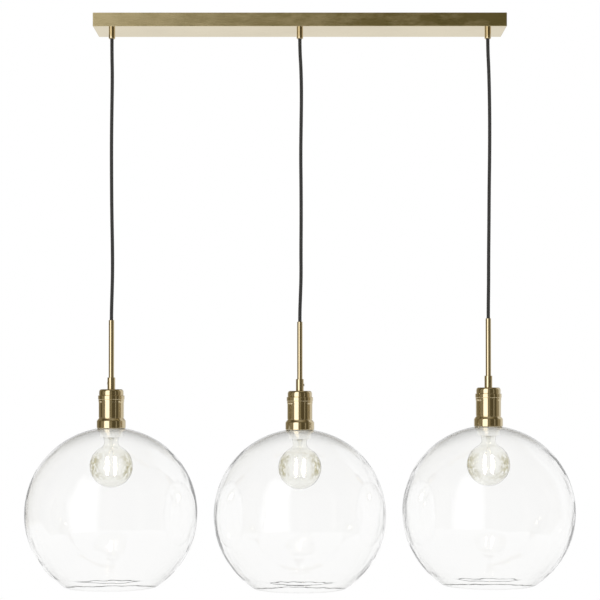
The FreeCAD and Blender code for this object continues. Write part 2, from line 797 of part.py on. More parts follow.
def collet(at):
    """Ball that turns in the gland's seat, with a flared way out for the cord."""
    ball = s.collet_radius
    bore = s.cord_radius + s.collet_cord_gap
    top, bottom = at.pivot + s.collet_top, at.pivot - s.collet_bottom
    node(turned(f"{at.side}_ball", [
        (bore + s.collet_flare, bottom),
        (height_on_circle(ball, s.collet_bottom), bottom),
        (height_on_circle(ball, s.collet_top), top, arc(ball, 0, at.pivot, 1)),
        (bore, top),
        (bore, at.pivot),
        ], at.x), f"{at.side}_collet")


# ---------------------------------------------------------------- stem and collar

def stem_tube(at):
    edge = s.stem_edge
    body = turned(f"{at.side}_stem", [
        (s.stem_bore_radius, at.stem_bottom),
        (s.stem_radius, at.stem_bottom),
        (s.stem_radius, at.stem_top - edge),
        (s.stem_radius - edge, at.stem_top,
         arc(edge, s.stem_radius - edge, at.stem_top - edge, 1)),
        (s.stem_bore_radius, at.stem_top),
        ], at.x, at.screw_turn)
    drill_for_lock_screw(body, at)
    node(body, f"{at.side}_stem_tube")


def lock_collar(at):
    bore, edge = s.stem_radius + s.thread_gap, s.collar_edge
    low, high = at.cover_top, at.collar_top
    body = turned(f"{at.side}_sleeve", [
        (bore, low),
        (s.collar_radius - edge, low),
        (s.collar_radius, low + edge),
        (s.collar_radius, high - edge),
        (s.collar_radius - edge, high),
        (bore, high),
        ], at.x, at.screw_turn)
    drill_for_lock_screw(body, at)
    node(body, f"{at.side}_lock_collar")


def drill_for_lock_screw(body, at):
    """Hole on the body's +X side, half way up the collar."""
    hole = new_sketch(body, "YZ_Plane")
    draw_circle(hole, 0, at.cover_top + s.collar_height / 2, s.lock_screw_radius + s.thread_gap)
    cut_away(body, hole, outward=True)


def lock_screw(at):
    """Screw through collar and tube onto the cord, with a slotted head outside the collar."""
    height = at.cover_top + s.collar_height / 2
    tip = s.cord_radius + s.thread_gap
    face = s.collar_radius + s.lock_screw_head_height
    body = new_body(f"{at.side}_grub", at.x, at.screw_turn)
    sketch = draw_outline(new_sketch(body, "XY_Plane", height), [
        (tip, 0),
        (face, 0),
        (face, s.lock_screw_head_radius),
        (s.collar_radius, s.lock_screw_head_radius),
        (s.collar_radius, s.lock_screw_radius),
        (tip, s.lock_screw_radius),
        ])
    spin = body.newObject("PartDesign::Revolution", "Turned")
    spin.Profile = sketch
    spin.ReferenceAxis = (sketch, ["H_Axis"])
    spin.Angle = 360.0
    slot = draw_box(new_sketch(body, "YZ_Plane", face),
                    -s.lock_screw_head_radius, s.lock_screw_head_radius,
                    height - s.slot_width / 2, height + s.slot_width / 2)
    cut_away(body, slot, s.slot_depth)
    node(body, f"{at.side}_lock_screw")


# ---------------------------------------------------------------- socket

def socket_cover(at):
    """Turned cup: rounded shoulder, raised ring, waist and a flared lip that sits on the glass."""
    def down(drop):
        return at.cover_top - drop

    hole = s.stem_radius + s.cover_hole_clearance
    wall, inner, shoulder = s.cover_wall, s.cover_inner_radius, s.cover_shoulder_radius
    top = shoulder - s.cover_top_inset
    across = s.cover_top_inset
    bend = (s.cover_shoulder_drop * s.cover_shoulder_drop + across * across) / (across * 2)
    ring, edge = shoulder + s.cover_ring_step, s.cover_ring_edge
    joint = shoulder - s.cover_joint_depth
    neck = shoulder + s.cover_neck_step
    waist = shoulder + s.cover_waist_step
    groove, groove_top = waist - s.cover_groove_depth, s.cover_waist_bottom_drop - s.cover_groove_height
    lip, round_edge = s.cover_flare_radius, s.cover_lip_round
    node(turned(f"{at.side}_cup", [
        (hole, down(0)),
        (top, down(0)),
        (shoulder, down(s.cover_shoulder_drop),
         arc(bend, shoulder - bend, down(s.cover_shoulder_drop), -1)),
        (shoulder, down(s.cover_joint_drop)),
        (joint, down(s.cover_joint_drop)),
        (joint, down(s.cover_ring_top_drop)),
        (ring - edge, down(s.cover_ring_top_drop)),
        (ring, down(s.cover_ring_top_drop + edge)),
        (ring, down(s.cover_ring_bottom_drop - edge)),
        (ring - edge, down(s.cover_ring_bottom_drop)),
        (neck, down(s.cover_ring_bottom_drop)),
        (neck, down(s.cover_neck_drop)),
        (waist, down(s.cover_waist_top_drop)),
        (waist, down(groove_top)),
        (groove, down(groove_top)),
        (groove, down(s.cover_waist_bottom_drop)),
        (waist, down(s.cover_waist_bottom_drop)),
        (lip, down(s.cover_flare_drop)),
        (lip, at.cover_bottom + round_edge),
        (lip - round_edge, at.cover_bottom,
         arc(round_edge, lip - round_edge, at.cover_bottom + round_edge, -1)),
        (lip - wall, at.cover_bottom),
        (lip - wall, down(s.cover_flare_drop + wall)),
        (inner, down(s.cover_waist_bottom_drop + wall)),
        (inner, down(s.cover_shoulder_drop)),
        (top - wall, down(wall)),
        (hole, down(wall)),
        ], at.x), f"{at.side}_socket_cover")


def stem_nut(at):
    node(hex_nut(f"{at.side}_cover_nut", (s.stem_radius + s.cover_nut_wall) * 2, s.cover_nut_height,
                 s.stem_radius + s.thread_gap, at.x,
                 at.cover_top - s.cover_wall - s.cover_nut_height), f"{at.side}_stem_nut")


def lampholder(at):
    """Wiring chamber above, contact chamber below, and a floor with a hole between them."""
    top, bottom = at.holder_top, at.holder_bottom
    thread = s.stem_radius + s.thread_gap
    contact_bore = s.contact_shell_inner_radius + s.contact_shell_wall + s.thread_gap
    node(turned(f"{at.side}_holder", [
        (contact_bore, bottom),
        (s.holder_radius, bottom),
        (s.holder_radius, top - s.holder_shoulder_height),
        (s.holder_radius - s.holder_shoulder_inset, top - s.holder_neck_height),
        (s.holder_neck_radius, top - s.holder_neck_height),
        (s.holder_neck_radius, top),
        (thread, top),
        (thread, at.stem_bottom),
        (s.holder_chamber_radius, at.stem_bottom),
        (s.holder_chamber_radius, at.floor_top),
        (s.holder_post_hole_radius, at.floor_top),
        (s.holder_post_hole_radius, at.floor_bottom),
        (contact_bore, at.floor_bottom),
        ], at.x), f"{at.side}_lampholder")


def lampholder_contacts(at):
    """Threaded contact shell, drawn smooth, and the centre tongue on its post."""
    inner = s.contact_shell_inner_radius
    outer = inner + s.contact_shell_wall
    low = at.holder_bottom + s.contact_shell_setback
    shell = turned(f"{at.side}_contact_shell", [
        (inner, low),
        (outer, low),
        (outer, low + s.contact_shell_height),
        (inner, low + s.contact_shell_height),
        ], at.x)
    tongue = turned(f"{at.side}_contact_tongue", [
        (0, at.tongue_bottom),
        (s.contact_tongue_radius, at.tongue_bottom),
        (s.contact_tongue_radius, at.floor_bottom),
        (s.contact_post_radius, at.floor_bottom),
        (s.contact_post_radius, at.floor_top + s.contact_post_rise),
        (0, at.floor_top + s.contact_post_rise),
        ], at.x)
    group(f"{at.side}_lampholder_contacts", [shell, tongue])


# ---------------------------------------------------------------- shade

def shade_ring(at):
    """Ring screwed onto the lampholder, whose flange holds the glass from inside."""
    inner = s.shade_ring_bore_radius
    outer = inner + s.shade_ring_wall
    under_flange = at.flange_top - s.shade_ring_flange_thickness
    bottom = at.flange_top - s.shade_ring_height
    node(turned(f"{at.side}_ring", [
        (inner, bottom),
        (outer, bottom),
        (outer, under_flange),
        (s.shade_ring_flange_radius, under_flange),
        (s.shade_ring_flange_radius, at.flange_top),
        (inner, at.flange_top),
        ], at.x), f"{at.side}_shade_ring")


def glass_globe(at):
    """Blown globe with a hole at the top, open below, with a rounded rim."""
    outer, wall = s.globe_radius, s.globe_wall
    inner = outer - wall
    mouth, hole = s.globe_mouth_radius, s.globe_hole_radius
    rim_drop = height_on_circle(outer, mouth)
    inward = inner / outer
    middle = (outer - wall / 2) / outer
    rim, back = s.globe_rim_radius, height_on_circle(s.globe_rim_radius, wall / 2)
    rim_x = mouth * middle + back * rim_drop / outer
    rim_z = at.globe - rim_drop * middle + back * mouth / outer
    node(turned(f"{at.side}_globe", [
        (hole, at.globe + height_on_circle(outer, hole)),
        (mouth, at.globe - rim_drop, arc(outer, 0, at.globe, -1)),
        (mouth * inward, at.globe - rim_drop * inward, arc(rim, rim_x, rim_z, -1)),
        (hole, at.globe + height_on_circle(inner, hole), arc(inner, 0, at.globe, 1)),
        ], at.x), f"{at.side}_glass_globe")


# ---------------------------------------------------------------- lamp

def bulb_envelope(at):
    """Glass globe of the lamp, with a cone up to the neck that the cap holds.

    The cone touches the globe and ends at the shoulder under the cap, which sets its angle.
    """
    wall, drop, shoulder = s.lamp_wall, s.lamp_centre_below_cap, s.cap_radius + s.lamp_shoulder_step
    reach = square_root(drop * drop + shoulder * shoulder)
    angle = arc_sine(s.lamp_radius / reach) - arc_tangent(shoulder / drop)
    slope = sine(angle) / cosine(angle)

    def cone_radius(ball, height):
        return ball * cosine(angle) - (height - at.lamp - ball * sine(angle)) * slope

    outer, inner = s.lamp_radius, s.lamp_radius - wall
    neck, neck_top, cap = s.lamp_neck_radius, at.cap_bottom + s.lamp_neck_height, at.cap_bottom
    node(turned(f"{at.side}_bulb_glass", [
        (neck, neck_top),
        (neck, cap),
        (cone_radius(outer, cap), cap),
        (outer * cosine(angle), at.lamp + outer * sine(angle)),
        (0, at.lamp - outer, arc(outer, 0, at.lamp, -1)),
        (0, at.lamp - inner),
        (inner * cosine(angle), at.lamp + inner * sine(angle), arc(inner, 0, at.lamp, 1)),
        (cone_radius(inner, cap - wall), cap - wall),
        (neck - wall, cap - wall),
        (neck - wall, neck_top),
        ], at.x), f"{at.side}_bulb_envelope")


def bulb_filament(at):
    """Glass mount with a rod, and the upright sticks held by a spoke at each end."""
    name = f"{at.side}_light"
    flare_low = at.cap_bottom + s.lamp_neck_height - s.lamp_mount_flare_height
    mount_low = flare_low - s.lamp_mount_length
    stick_low = at.lamp - s.stick_length / 2
    flare = s.lamp_neck_radius - s.lamp_wall - s.lamp_mount_gap
    pieces = [
        cylinder(f"{name}_flare", flare, s.lamp_mount_flare_height, x=at.x, z=flare_low),
        cylinder(f"{name}_mount", s.lamp_mount_radius, s.lamp_mount_length,
                 x=at.x, z=mount_low),
        cylinder(f"{name}_rod", s.lamp_rod_radius, mount_low - stick_low, x=at.x, z=stick_low),
    ]
    for index in range(LAMP_STICKS):
        angle = math.radians(360.0 * index / LAMP_STICKS + 45.0)
        along = (-math.sin(angle), math.cos(angle), 0)
        pieces.append(cylinder(f"{name}_stick_{index + 1}", s.stick_radius, s.stick_length,
                               x=at.x + s.stick_circle_radius * math.cos(angle),
                               y=s.stick_circle_radius * math.sin(angle), z=stick_low))
        for end, height in (("low", stick_low + s.stick_radius),
                            ("high", stick_low + s.stick_length - s.stick_radius)):
            pieces.append(cylinder(f"{name}_spoke_{end}_{index + 1}", s.spoke_radius,
                                   s.stick_circle_radius, x=at.x, z=height,
                                   axis=along, turn=90))
    node(fused(name, pieces), f"{at.side}_bulb_filament")


def bulb_cap(at):
    """Screw cap, drawn without its thread: a thin cup over the neck, coned to a closed top."""
    wall, low, top = s.cap_wall, at.cap_bottom, at.cap_top
    shell_top = top - s.cap_cone_height
    node(turned(f"{at.side}_screw_cap", [
        (s.cap_radius - wall, low),
        (s.cap_radius, low),
        (s.cap_radius, shell_top),
        (s.cap_top_radius, top),
        (0, top),
        (0, top - wall * 2),
        (s.cap_top_radius, top - wall * 2),
        (s.cap_radius - wall, shell_top - wall),
        ], at.x), f"{at.side}_bulb_cap")


def bulb_tip(at):
    node(cylinder(f"{at.side}_tip", s.tip_radius, s.tip_height, x=at.x, z=at.tip_bottom),
         f"{at.side}_bulb_tip")


# ---------------------------------------------------------------- the whole lamp

def build_lamp():
    for build in (canopy_housing, ceiling_bracket, housing_screws, earth_screw, terminal_block,
                  terminal_screws, block_screws, gland_nuts, cord_tails):
        build()
    for side in SIDES:
        at = places_for(side)
        for build in (gland_body, collet, free_cord, stem_tube, pendant_lead, lock_collar,
                      lock_screw, socket_cover, stem_nut, lampholder, lampholder_contacts,
                      shade_ring, glass_globe, bulb_envelope, bulb_filament, bulb_cap, bulb_tip):
            build(at)


def check_lamp():
    """Stop if any object failed, or if a sub-part isn't a set of whole solids."""
    doc.recompute()
    for item in doc.Objects:
        if {"Invalid", "Error"} & set(item.State):
            raise RuntimeError(f"{item.Label} failed: {item.State}")
    for item in nodes:
        shape = item.Shape
        if shape.isNull() or not shape.isValid() or not shape.Solids or shape.Volume <= 0:
            raise RuntimeError(f"{item.Label} isn't a valid solid")


def write_parts():
    os.makedirs("parts", exist_ok=True)
    for item in nodes:
        item.Shape.exportStep(os.path.join("parts", f"{item.Label}.step"))
    print(f"{len(nodes)} sub-parts written")


build_lamp()
check_lamp()
write_parts()
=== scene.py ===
"""Looks of a three-light linear island pendant with mouth-blown glass globes.

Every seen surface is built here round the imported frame, in metres and in the
same place as the construction model. A long brushed brass canopy carries three
textile cords. Each cord ends in a brass stem, a lock collar and a turned
socket cover, under which a clear globe and its own small globe lamp hang.
"""
import logging
import math
from collections.abc import Callable, Sequence
from dataclasses import dataclass
from enum import Enum

import bmesh
import bpy
from mathutils import Matrix, Vector

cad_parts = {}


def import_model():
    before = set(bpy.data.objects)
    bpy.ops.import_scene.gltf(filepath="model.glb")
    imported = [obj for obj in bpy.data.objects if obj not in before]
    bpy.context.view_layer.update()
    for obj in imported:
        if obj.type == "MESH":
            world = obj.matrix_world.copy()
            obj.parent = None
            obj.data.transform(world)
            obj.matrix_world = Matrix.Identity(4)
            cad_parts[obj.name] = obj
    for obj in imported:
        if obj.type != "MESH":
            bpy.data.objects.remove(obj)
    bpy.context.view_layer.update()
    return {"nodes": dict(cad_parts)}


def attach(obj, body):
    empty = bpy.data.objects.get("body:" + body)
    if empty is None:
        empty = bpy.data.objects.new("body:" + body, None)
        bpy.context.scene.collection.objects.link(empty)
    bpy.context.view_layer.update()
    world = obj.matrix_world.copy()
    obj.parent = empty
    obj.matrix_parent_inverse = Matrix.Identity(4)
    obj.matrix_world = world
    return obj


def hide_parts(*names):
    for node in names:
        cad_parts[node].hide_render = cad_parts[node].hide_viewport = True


log = logging.getLogger("island_pendant")

Point = tuple[float, float, float]
Ring = tuple[float, float]
Range = tuple[float, float]
Colour = tuple[float, float, float, float]
Piece = bpy.types.Object
Face = bpy.types.MeshPolygon
Node = bpy.types.Node
Socket = bpy.types.NodeSocket
Sockets = bpy.types.bpy_prop_collection

TINY = 1e-6
SMOOTH_ANGLE = math.radians(35)
WHITE = (1.0, 1.0, 1.0, 1.0)
PLAIT_PER_METRE = 227.0


class Side(Enum):
    """The three hanging places along the canopy."""

    LEFT = "left"
    MIDDLE = "middle"
    RIGHT = "right"


@dataclass(frozen=True)
class Hang:
    """Where one pendant hangs: along the canopy, and how much above the left one."""

    x: float
    lift: float


HANGS = {
    Side.LEFT: Hang(-0.350, 0.0),
    Side.MIDDLE: Hang(0.0, -0.0030),
    Side.RIGHT: Hang(0.350, 0.0033),
}


# ---------------------------------------------------------------- modelling


class Workbench:
    """Modelling calls of edit mode, each with its own selection."""

    @staticmethod
    def clear() -> None:
        """Leaves edit mode and deselects all, the frame's own parts too."""
        if bpy.context.object and bpy.context.object.mode != "OBJECT":
            bpy.ops.object.mode_set(mode="OBJECT")
        bpy.ops.object.select_all(action="DESELECT")

    @staticmethod
    def pick(obj: Piece) -> None:
        """Makes obj the one selected and active object.

        Args:
            obj: the piece to work on.
        """
        Workbench.clear()
        obj.select_set(True)
        bpy.context.view_layer.objects.active = obj

    @staticmethod
    def edit(obj: Piece, kind: str = "VERT") -> None:
        """Opens obj in edit mode with all of it selected.

        Args:
            obj: the piece to shape.
            kind: VERT, EDGE or FACE, what a click would select.
        """
        Workbench.pick(obj)
        bpy.ops.object.mode_set(mode="EDIT")
        bpy.ops.mesh.select_mode(type=kind)
        bpy.ops.mesh.select_all(action="SELECT")

    @staticmethod
    def choose_rims() -> None:
        """Selects only the open rims of the piece in edit mode."""
        bpy.ops.mesh.select_all(action="DESELECT")
        bpy.ops.mesh.select_non_manifold()

    @staticmethod
    def choose_faces(obj: Piece, wanted: Callable[[Face], bool]) -> None:
        """Opens obj in edit mode with only some faces selected.

        Args:
            obj: the piece to shape.
            wanted: a test of one face by its place or normal.
        """
        Workbench.edit(obj, "FACE")
        bpy.ops.mesh.select_all(action="DESELECT")
        bpy.ops.object.mode_set(mode="OBJECT")
        for face in obj.data.polygons:
            face.select = wanted(face)
        bpy.ops.object.mode_set(mode="EDIT")

    @staticmethod
    def tidy(obj: Piece) -> None:
        """Merges doubles and turns all faces outward.

        Args:
            obj: the piece.
        """
        Workbench.edit(obj)
        bpy.ops.mesh.remove_doubles(threshold=TINY)
        bpy.ops.mesh.normals_make_consistent(inside=False)
        bpy.ops.object.mode_set(mode="OBJECT")

    @staticmethod
    def close(obj: Piece, hollow: bool = False) -> None:
        """Closes the open rims of a piece.

        Args:
            obj: the piece.
            hollow: two rims are bridged, or else each is filled.
        """
        Workbench.edit(obj)
        Workbench.choose_rims()
        if hollow:
            bpy.ops.mesh.bridge_edge_loops()
        else:
            bpy.ops.mesh.fill_holes(sides=0)
        Workbench.tidy(obj)

    @staticmethod
    def modify(obj: Piece, kind: str, **settings: object) -> None:
        """Adds one modifier with these settings and applies it.

        Args:
            obj: the piece.
            kind: the modifier's type.
            settings: its properties by name.
        """
        Workbench.pick(obj)
        modifier = obj.modifiers.new(kind.title(), kind)
        for name, value in settings.items():
            setattr(modifier, name, value)
        bpy.ops.object.modifier_apply(modifier=modifier.name)

    @staticmethod
    def round_edges(obj: Piece, width: float, segments: int, sharper: float = 32.0) -> None:
        """Rounds the crisp edges.

        Args:
            obj: the piece.
            width: width of the rounding.
            segments: its faces across.
            sharper: the least angle in degrees that is rounded.
        """
        Workbench.modify(
            obj, "BEVEL", width=width, segments=segments, limit_method="ANGLE",
            angle_limit=math.radians(sharper),
        )

    @staticmethod
    def settle(obj: Piece, name: str, angle: float = SMOOTH_ANGLE) -> Piece:
        """Puts the place in the mesh, smooths it and names the piece.

        Args:
            obj: the piece.
            name: its name in the table.
            angle: edges sharper than this stay crisp.

        Returns:
            The same piece.
        """
        Workbench.pick(obj)
        bpy.ops.object.transform_apply(location=True, rotation=True, scale=True)
        bpy.ops.object.shade_smooth_by_angle(angle=angle)
        obj.name = obj.data.name = name
        return obj

    @staticmethod
    def again(master: Piece, name: str, move: Matrix) -> Piece:
        """Copies a finished piece with its own mesh, moved in the mesh.

        Args:
            master: the piece to copy.
            name: the copy's name.
            move: the change of place.

        Returns:
            The copy.
        """
        copy = master.copy()
        copy.data = master.data.copy()
        copy.name = copy.data.name = name
        copy.data.transform(move)
        bpy.context.scene.collection.objects.link(copy)
        return copy


@dataclass(frozen=True)
class Turning:
    """A turned part, drawn as the rings of its profile from one circle.

    Attributes:
        rings: radius and height of each ring, outside first for a hollow part.
        hollow: the last ring joins the first, or else the ends are closed.
        rounding: width of the bevel on crisp edges.
        steps: faces across that bevel.
    """

    name: str
    rings: Sequence[Ring]
    segments: int = 96
    hollow: bool = True
    rounding: float = 0.0
    steps: int = 3

    def skin(self, foot: str = "NOTHING") -> Piece:
        """Extrudes and scales a circle ring by ring.

        Args:
            foot: NOTHING leaves the first ring open, TRIFAN closes it.

        Returns:
            The open skin, round the Z axis, its place in its mesh.
        """
        radius, height = self.rings[0]
        Workbench.clear()
        bpy.ops.mesh.primitive_circle_add(
            vertices=self.segments, radius=radius, fill_type=foot, location=(0, 0, height)
        )
        piece = bpy.context.object
        Workbench.edit(piece)
        if foot != "NOTHING":
            Workbench.choose_rims()
        for next_radius, next_height in self.rings[1:]:
            bpy.ops.mesh.extrude_region_move(
                TRANSFORM_OT_translate={"value": (0, 0, next_height - height)}
            )
            ratio = next_radius / radius
            bpy.ops.transform.resize(
                value=(ratio, ratio, 1), center_override=(0, 0, next_height)
            )
            radius, height = next_radius, next_height
        Workbench.tidy(piece)
        bpy.ops.object.transform_apply(location=True, rotation=True, scale=True)
        return piece

    def build(self) -> Piece:
        """Closes the skin and rounds its crisp edges.

        Returns:
            The piece, round the Z axis.
        """
        piece = self.skin()
        Workbench.close(piece, self.hollow)
        if self.rounding:
            Workbench.round_edges(piece, self.rounding, self.steps)
        Workbench.settle(piece, self.name)
        Workbench.modify(
            piece, "WEIGHTED_NORMAL", mode="FACE_AREA", weight=100, keep_sharp=True
        )
        return piece


# ---------------------------------------------------------------- materials


class NodeBench:
    """A node tree with short calls that add, set and join its nodes."""

    def __init__(self, tree: bpy.types.NodeTree) -> None:
        """Works on tree."""
        self.tree = tree

    @classmethod
    def material(cls, name: str) -> tuple[bpy.types.Material, "NodeBench", Node]:
        """Makes a material.

        Args:
            name: its name.

        Returns:
            The material, its bench and its shader.
        """
        material = bpy.data.materials.new(name)
        material.use_nodes = True
        tree = material.node_tree
        return material, cls(tree), tree.nodes["Principled BSDF"]

    def feed(self, node: Node, feeds: dict) -> Node:
        """Sets or joins the inputs of a node.

        Args:
            node: the node.
            feeds: a value or an output socket for each named or numbered input.

        Returns:
            The same node.
        """
        for name, value in feeds.items():
            if isinstance(value, Socket):
                self.tree.links.new(value, node.inputs[name])
            else:
                node.inputs[name].default_value = value
        return node

    def add(self, kind: str, feeds: dict | None = None, **settings: object) -> Node:
        """Adds one node.

        Args:
            kind: the node's type.
            feeds: what goes into its inputs.
            settings: the node's own properties.

        Returns:
            The node.
        """
        node = self.tree.nodes.new(kind)
        for name, value in settings.items():
            setattr(node, name, value)
        return self.feed(node, feeds or {})

    def group(self, name: str, feeds: dict) -> Sockets:
        """Places the shared group called name and returns its outputs."""
        return self.add("ShaderNodeGroup", feeds, node_tree=Effects.get(name)).outputs

    def surface(self, shader: Node) -> None:
        """Makes shader the surface of the material."""
        self.feed(self.tree.nodes["Material Output"], {"Surface": shader.outputs[0]})

    def math(self, operation: str, *values: object, clamp: bool = False) -> Socket:
        """Returns the result of one Math node on these values."""
        return self.add(
            "ShaderNodeMath", dict(enumerate(values)), operation=operation, use_clamp=clamp
        ).outputs[0]

    def times(self, first: object, second: object, clamp: bool = False) -> Socket:
        """Returns the product of two values."""
        return self.math("MULTIPLY", first, second, clamp=clamp)

    def plus(self, first: object, second: object, clamp: bool = False) -> Socket:
        """Returns the sum of two values."""
        return self.math("ADD", first, second, clamp=clamp)

    def less(self, first: object, second: object) -> Socket:
        """Returns the first value less the second."""
        return self.math("SUBTRACT", first, second)

    def mix(self, share: object, first: object, second: object) -> Socket:
        """Returns the colour between first and second at share."""
        return self.add(
            "ShaderNodeMix", {0: share, 6: first, 7: second}, data_type="RGBA"
        ).outputs[2]

    def blend(self, share: Socket, first: Node, second: Node) -> Node:
        """Returns the shader between first and second at share."""
        return self.add(
            "ShaderNodeMixShader", {0: share, 1: first.outputs[0], 2: second.outputs[0]}
        )

    def ramp(
        self, value: object, low: float, high: float, start: float = 0.0, end: float = 1.0
    ) -> Socket:
        """Returns value carried smoothly from low..high to start..end."""
        return self.add(
            "ShaderNodeMapRange",
            {"Value": value, "From Min": low, "From Max": high, "To Min": start, "To Max": end},
            interpolation_type="SMOOTHSTEP",
        ).outputs[0]

    def noise(
        self, vector: object, scale: object, detail: float = 2.0, roughness: float = 0.5
    ) -> Socket:
        """Returns the value of a noise texture."""
        return self.add(
            "ShaderNodeTexNoise",
            {"Vector": vector, "Scale": scale, "Detail": detail, "Roughness": roughness},
        ).outputs["Fac"]

    def split(self, vector: Socket) -> Sockets:
        """Returns the X, Y and Z of a vector."""
        return self.add("ShaderNodeSeparateXYZ", {0: vector}).outputs

    def place(
        self, scale: Point = (1, 1, 1), shift: Point = (0, 0, 0), turn: Point = (0, 0, 0)
    ) -> Socket:
        """Returns Object coordinates through a Mapping node.

        Args:
            scale: how much finer the pattern is along each axis.
            shift: the pattern's centre, taken off first.
            turn: the pattern's turn in radians.

        Returns:
            The vector socket.
        """
        where = self.add("ShaderNodeTexCoord").outputs["Object"]
        centred = self.add("ShaderNodeVectorMath", {0: where, 1: shift}, operation="SUBTRACT")
        return self.add(
            "ShaderNodeMapping", {"Vector": centred.outputs[0], "Rotation": turn, "Scale": scale}
        ).outputs["Vector"]

    def levelness(self) -> Socket:
        """Returns 1 on level faces, falling to 0 on upright ones."""
        normal = self.add("ShaderNodeNewGeometry").outputs["True Normal"]
        return self.math("ABSOLUTE", self.split(normal)["Z"])

    def looked_at(self) -> Socket:
        """Tells the rays of the eye, gloss and glass from the rest.

        Returns:
            1 for those rays, or else 0.
        """
        path = self.add("ShaderNodeLightPath").outputs
        seen = self.math("MAXIMUM", path["Is Camera Ray"], path["Is Glossy Ray"])
        return self.math("MAXIMUM", seen, path["Is Transmission Ray"])


class Effects:
    """The shader groups that several finishes share, each built once."""

    KINDS = {type(None): "NodeSocketVector", float: "NodeSocketFloat", tuple: "NodeSocketColor"}
    _built: dict[str, bpy.types.NodeTree] = {}

    @classmethod
    def get(cls, name: str) -> bpy.types.NodeTree:
        """Finds a group, and builds it the first time.

        Args:
            name: the group's name.

        Returns:
            The group.
        """
        if name not in cls._built:
            cls._built[name] = getattr(cls, "_" + name)()
        return cls._built[name]

    @classmethod
    def _start(
        cls, name: str, inputs: dict[str, object], *outputs: str
    ) -> tuple[NodeBench, Sockets]:
        """Makes an empty group.

        Args:
            name: the group's name.
            inputs: value of each input by name, None for a vector.
            outputs: names of the outputs; Color is a colour, the rest are values.

        Returns:
            The bench and the sockets of the inputs.
        """
        tree = bpy.data.node_groups.new(name, "ShaderNodeTree")
        for label, value in inputs.items():
            kind = cls.KINDS[type(value)]
            socket = tree.interface.new_socket(label, in_out="INPUT", socket_type=kind)
            if value is not None:
                socket.default_value = value
        for label in outputs:
            kind = cls.KINDS[tuple if label == "Color" else float]
            tree.interface.new_socket(label, in_out="OUTPUT", socket_type=kind)
        bench = NodeBench(tree)
        return bench, bench.add("NodeGroupInput").outputs

    @staticmethod
    def _finish(bench: NodeBench, results: dict[str, Socket]) -> bpy.types.NodeTree:
        """Joins the results to the group's outputs and returns the group."""
        bench.add("NodeGroupOutput", results)
        return bench.tree

    @classmethod
    def _patina(cls) -> bpy.types.NodeTree:
        """Soft stains and small spots on bare metal: a colour and a mask.

        Returns:
            The group.
        """
        bench, given = cls._start(
            "patina",
            {
                "Vector": None, "Bright": (0.8, 0.7, 0.5, 1.0), "Stain": (0.4, 0.3, 0.15, 1.0),
                "Amount": 0.3, "Scale": 14.0,
            },
            "Color", "Mask",
        )
        cloud = bench.noise(given["Vector"], given["Scale"], 4.0, 0.55)
        spots = bench.noise(given["Vector"], bench.times(given["Scale"], 9.0), 2.0, 0.6)
        stain = bench.plus(
            bench.ramp(cloud, 0.36, 0.72), bench.ramp(spots, 0.62, 0.78, 0.0, 0.35)
        )
        mask = bench.times(stain, given["Amount"], clamp=True)
        colour = bench.mix(mask, given["Bright"], given["Stain"])
        return cls._finish(bench, {"Color": colour, "Mask": mask})

    @classmethod
    def _drawn_lines(cls) -> bpy.types.NodeTree:
        """Fine lines of brushing or turning: a height and a streak mask.

        Returns:
            The group.
        """
        bench, given = cls._start("drawn_lines", {"Vector": None}, "Height", "Streak")
        coarse = bench.noise(given["Vector"], 1.0, 3.0, 0.6)
        sharp = bench.noise(given["Vector"], 4.3, 2.0, 0.7)
        height = bench.plus(bench.times(coarse, 0.6), bench.times(sharp, 0.4))
        return cls._finish(
            bench, {"Height": height, "Streak": bench.ramp(height, 0.35, 0.65)}
        )

    @classmethod
    def _moulded_skin(cls) -> bpy.types.NodeTree:
        """The skin of moulded plastic: a mottled colour and a fine grain.

        Returns:
            The group.
        """
        bench, given = cls._start(
            "moulded_skin",
            {
                "Vector": None, "Tone": (0.5, 0.5, 0.5, 1.0), "Shade": (0.4, 0.4, 0.4, 1.0),
                "Grain": 900.0,
            },
            "Color", "Height", "Scuff",
        )
        cloud = bench.noise(given["Vector"], 60.0, 3.0, 0.6)
        colour = bench.mix(bench.ramp(cloud, 0.3, 0.75), given["Tone"], given["Shade"])
        grain = bench.noise(given["Vector"], given["Grain"], 1.0, 0.5)
        scuff = bench.ramp(bench.noise(given["Vector"], 240.0, 4.0, 0.7), 0.45, 0.8)
        return cls._finish(bench, {"Color": colour, "Height": grain, "Scuff": scuff})

    @classmethod
    def _plait(cls) -> bpy.types.NodeTree:
        """The plaited sleeve of a cord: its height and its stray fibres.

        Returns:
            The group.
        """
        bench, given = cls._start(
            "plait", {"Vector": None, "Around": 12.0, "Along": 450.0}, "Height", "Fibre"
        )
        part = bench.split(given["Vector"])
        turns = bench.times(part["X"], given["Around"])
        run = bench.times(part["Y"], given["Along"])
        strands = [
            bench.math("SINE", bench.times(way(turns, run), math.pi))
            for way in (bench.plus, bench.less)
        ]
        height = bench.math("ABSOLUTE", bench.times(*strands))
        fibre = bench.noise(given["Vector"], 2600.0, 2.0, 0.6)
        return cls._finish(bench, {"Height": height, "Fibre": fibre})

    @classmethod
    def _blown_waver(cls) -> bpy.types.NodeTree:
        """The slow swell and drawn streaks of mouth-blown glass: a height.

        Returns:
            The group.
        """
        bench, given = cls._start(
            "blown_waver", {"Vector": None, "Swell": 9.0, "Streaks": 0.3}, "Height"
        )
        swell = bench.noise(given["Vector"], given["Swell"], 2.0, 0.4)
        drawn = bench.add(
            "ShaderNodeMapping", {"Vector": given["Vector"], "Scale": (1.0, 1.0, 0.22)}
        )
        streak = bench.noise(drawn.outputs[0], 34.0, 1.0, 0.4)
        height = bench.plus(swell, bench.times(streak, given["Streaks"]))
        return cls._finish(bench, {"Height": height})

